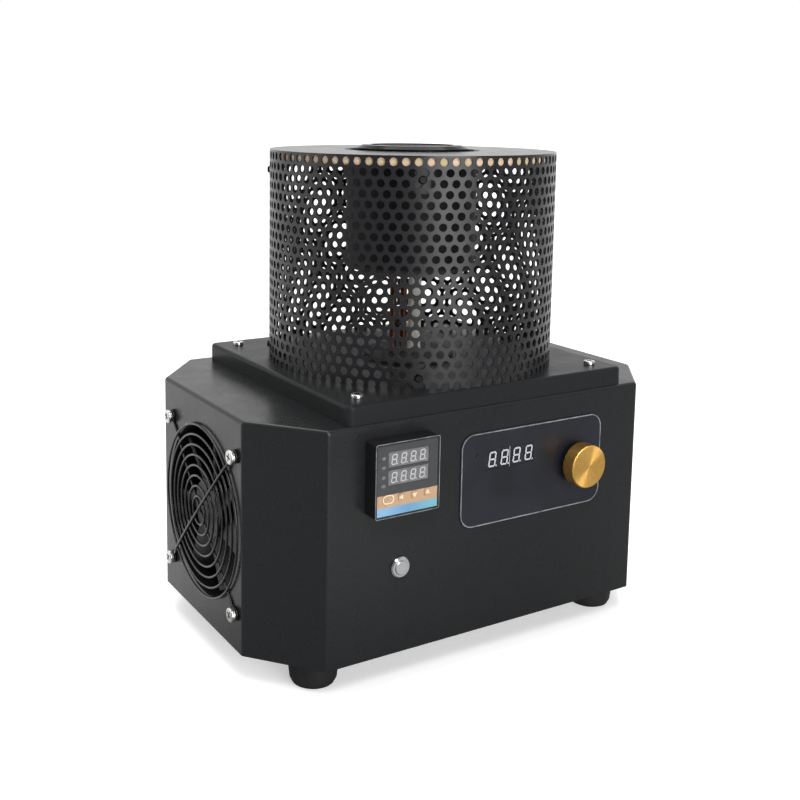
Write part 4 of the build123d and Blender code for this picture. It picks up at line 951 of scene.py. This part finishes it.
def seen_white(tree, level):
    """1 where the camera or glass sees the background, the room's level for mirrors, 0 for other rays."""
    path = add(tree, "LightPath")
    seen = add(tree, "Math", {"operation": "MAXIMUM"},
               links={0: path.outputs["Is Camera Ray"], 1: path.outputs["Is Transmission Ray"]})
    mirrored = add(tree, "Math", {"operation": "MULTIPLY"},
                   links={0: path.outputs["Is Glossy Ray"], 1: level})
    either = add(tree, "Math", {"operation": "MAXIMUM"}, links={0: seen.outputs[0], 1: mirrored.outputs[0]})
    return either.outputs[0]


def make_world():
    """White to the camera; as light, a bright backdrop behind the object and a dim room before it."""
    world = bpy.data.worlds.new("studio")
    bpy.context.scene.world = world
    world.use_nodes = True
    tree = world.node_tree
    shine = tree.nodes["Background"]
    place = add(tree, "TexCoord").outputs["Generated"]
    level = backdrop_level(tree, place)
    strength = add(tree, "Math", {"operation": "MAXIMUM"}, links={0: level, 1: seen_white(tree, level)})
    tree.links.new(strength.outputs[0], shine.inputs["Strength"])
    shine.inputs["Color"].default_value = linear("#ffffff")


def make_floor():
    """A pale floor that keeps the soft shadow and meets the white backdrop without a line."""
    bm = bmesh.new()
    bmesh.ops.create_grid(bm, x_segments=1, y_segments=1, size=FLOOR_HALF)
    mesh = bpy.data.meshes.new("floor")
    bm.to_mesh(mesh)
    bm.free()
    floor = bpy.data.objects.new("floor", mesh)
    bpy.context.scene.collection.objects.link(floor)
    material, tree, shader, place = start("pale_floor", "#e6e6e6", 0.9, Specular_IOR_Level=0.0)
    # a pool of light painted on the floor before the object gives its front a gradient
    reach = add(tree, "VectorMath", {"operation": "DISTANCE"}, {1: POOL_PLACE}, {0: place})
    pool = add(tree, "MapRange", {"interpolation_type": "SMOOTHSTEP"},
               {"From Min": POOL_REACH, "From Max": 0.0, "To Min": 0.0, "To Max": POOL_LEVEL},
               {"Value": reach.outputs["Value"]})
    level = add(tree, "Math", {"operation": "ADD"},
                links={0: backdrop_level(tree, place), 1: pool.outputs["Result"]}).outputs[0]
    # the floor is lifted towards white, fully where it is far away, so that no horizon shows
    away = add(tree, "VectorMath", {"operation": "LENGTH"}, links={0: place})
    share = add(tree, "MapRange",
                values={"From Min": GLOW_STARTS, "From Max": GLOW_FULL, "To Min": NEAR_GLOW, "To Max": 1.0},
                links={"Value": away.outputs["Value"]})
    lift = add(tree, "Math", {"operation": "MULTIPLY"},
               links={0: seen_white(tree, level), 1: share.outputs["Result"]})
    shader.inputs["Emission Color"].default_value = linear("#ffffff")
    tree.links.new(lift.outputs[0], shader.inputs["Emission Strength"])
    # for mirrors the floor's colour follows the room's level: painted shade before the object, the painted
    # pool of light, pale behind
    mirrored = add(tree, "LightPath").outputs["Is Glossy Ray"]
    shown = add(tree, "Mix", {"data_type": "RGBA"},
                {6: linear("#161616"), 7: linear("#c9c9c9")}, {0: level})
    colour = add(tree, "Mix", {"data_type": "RGBA"}, {6: linear("#e6e6e6")},
                 {0: mirrored, 7: shown.outputs[2]})
    tree.links.new(colour.outputs[2], shader.inputs["Base Color"])
    mesh.materials.append(material)


def make_lamp(name, place, size, power):
    """A soft square lamp that looks at the middle of the object."""
    data = bpy.data.lights.new(name, "AREA")
    data.shape = "SQUARE"
    data.size = size
    data.energy = power
    lamp = bpy.data.objects.new(name, data)
    bpy.context.scene.collection.objects.link(lamp)
    aim = LAMP_AIM - Vector(place)
    lamp.matrix_world = Matrix.Translation(place) @ aim.to_track_quat("-Z", "Y").to_matrix().to_4x4()


def make_camera():
    """Sets the camera where the photograph's lens stood, turned and shifted as it was."""
    yaw, pitch, roll = CAMERA_YAW, CAMERA_PITCH, CAMERA_ROLL
    data = bpy.data.cameras.new("camera")
    camera = bpy.data.objects.new("camera", data)
    bpy.context.scene.collection.objects.link(camera)
    ahead = Vector((math.sin(yaw) * math.cos(pitch), math.cos(yaw) * math.cos(pitch), -math.sin(pitch)))
    right = Vector((math.cos(yaw), -math.sin(yaw), 0))
    upward = right.cross(ahead)
    turned_right = right * math.cos(roll) + upward * math.sin(roll)
    turned_up = upward * math.cos(roll) - right * math.sin(roll)
    camera.matrix_world = Matrix.Translation(CAMERA_PLACE) @ Matrix(
        (turned_right, turned_up, -ahead)).transposed().to_4x4()
    data.sensor_width = 36.0
    data.lens = CAMERA_LENS
    data.shift_x, data.shift_y = CAMERA_SHIFT
    data.clip_start = 0.01
    data.clip_end = 60.0
    bpy.context.scene.camera = camera


make_world()
make_floor()
for lamp_name, lamp_place, lamp_size, lamp_power in LAMPS:
    make_lamp(lamp_name, lamp_place, lamp_size, lamp_power)
make_camera()
bpy.context.scene.view_settings.view_transform = "Standard"
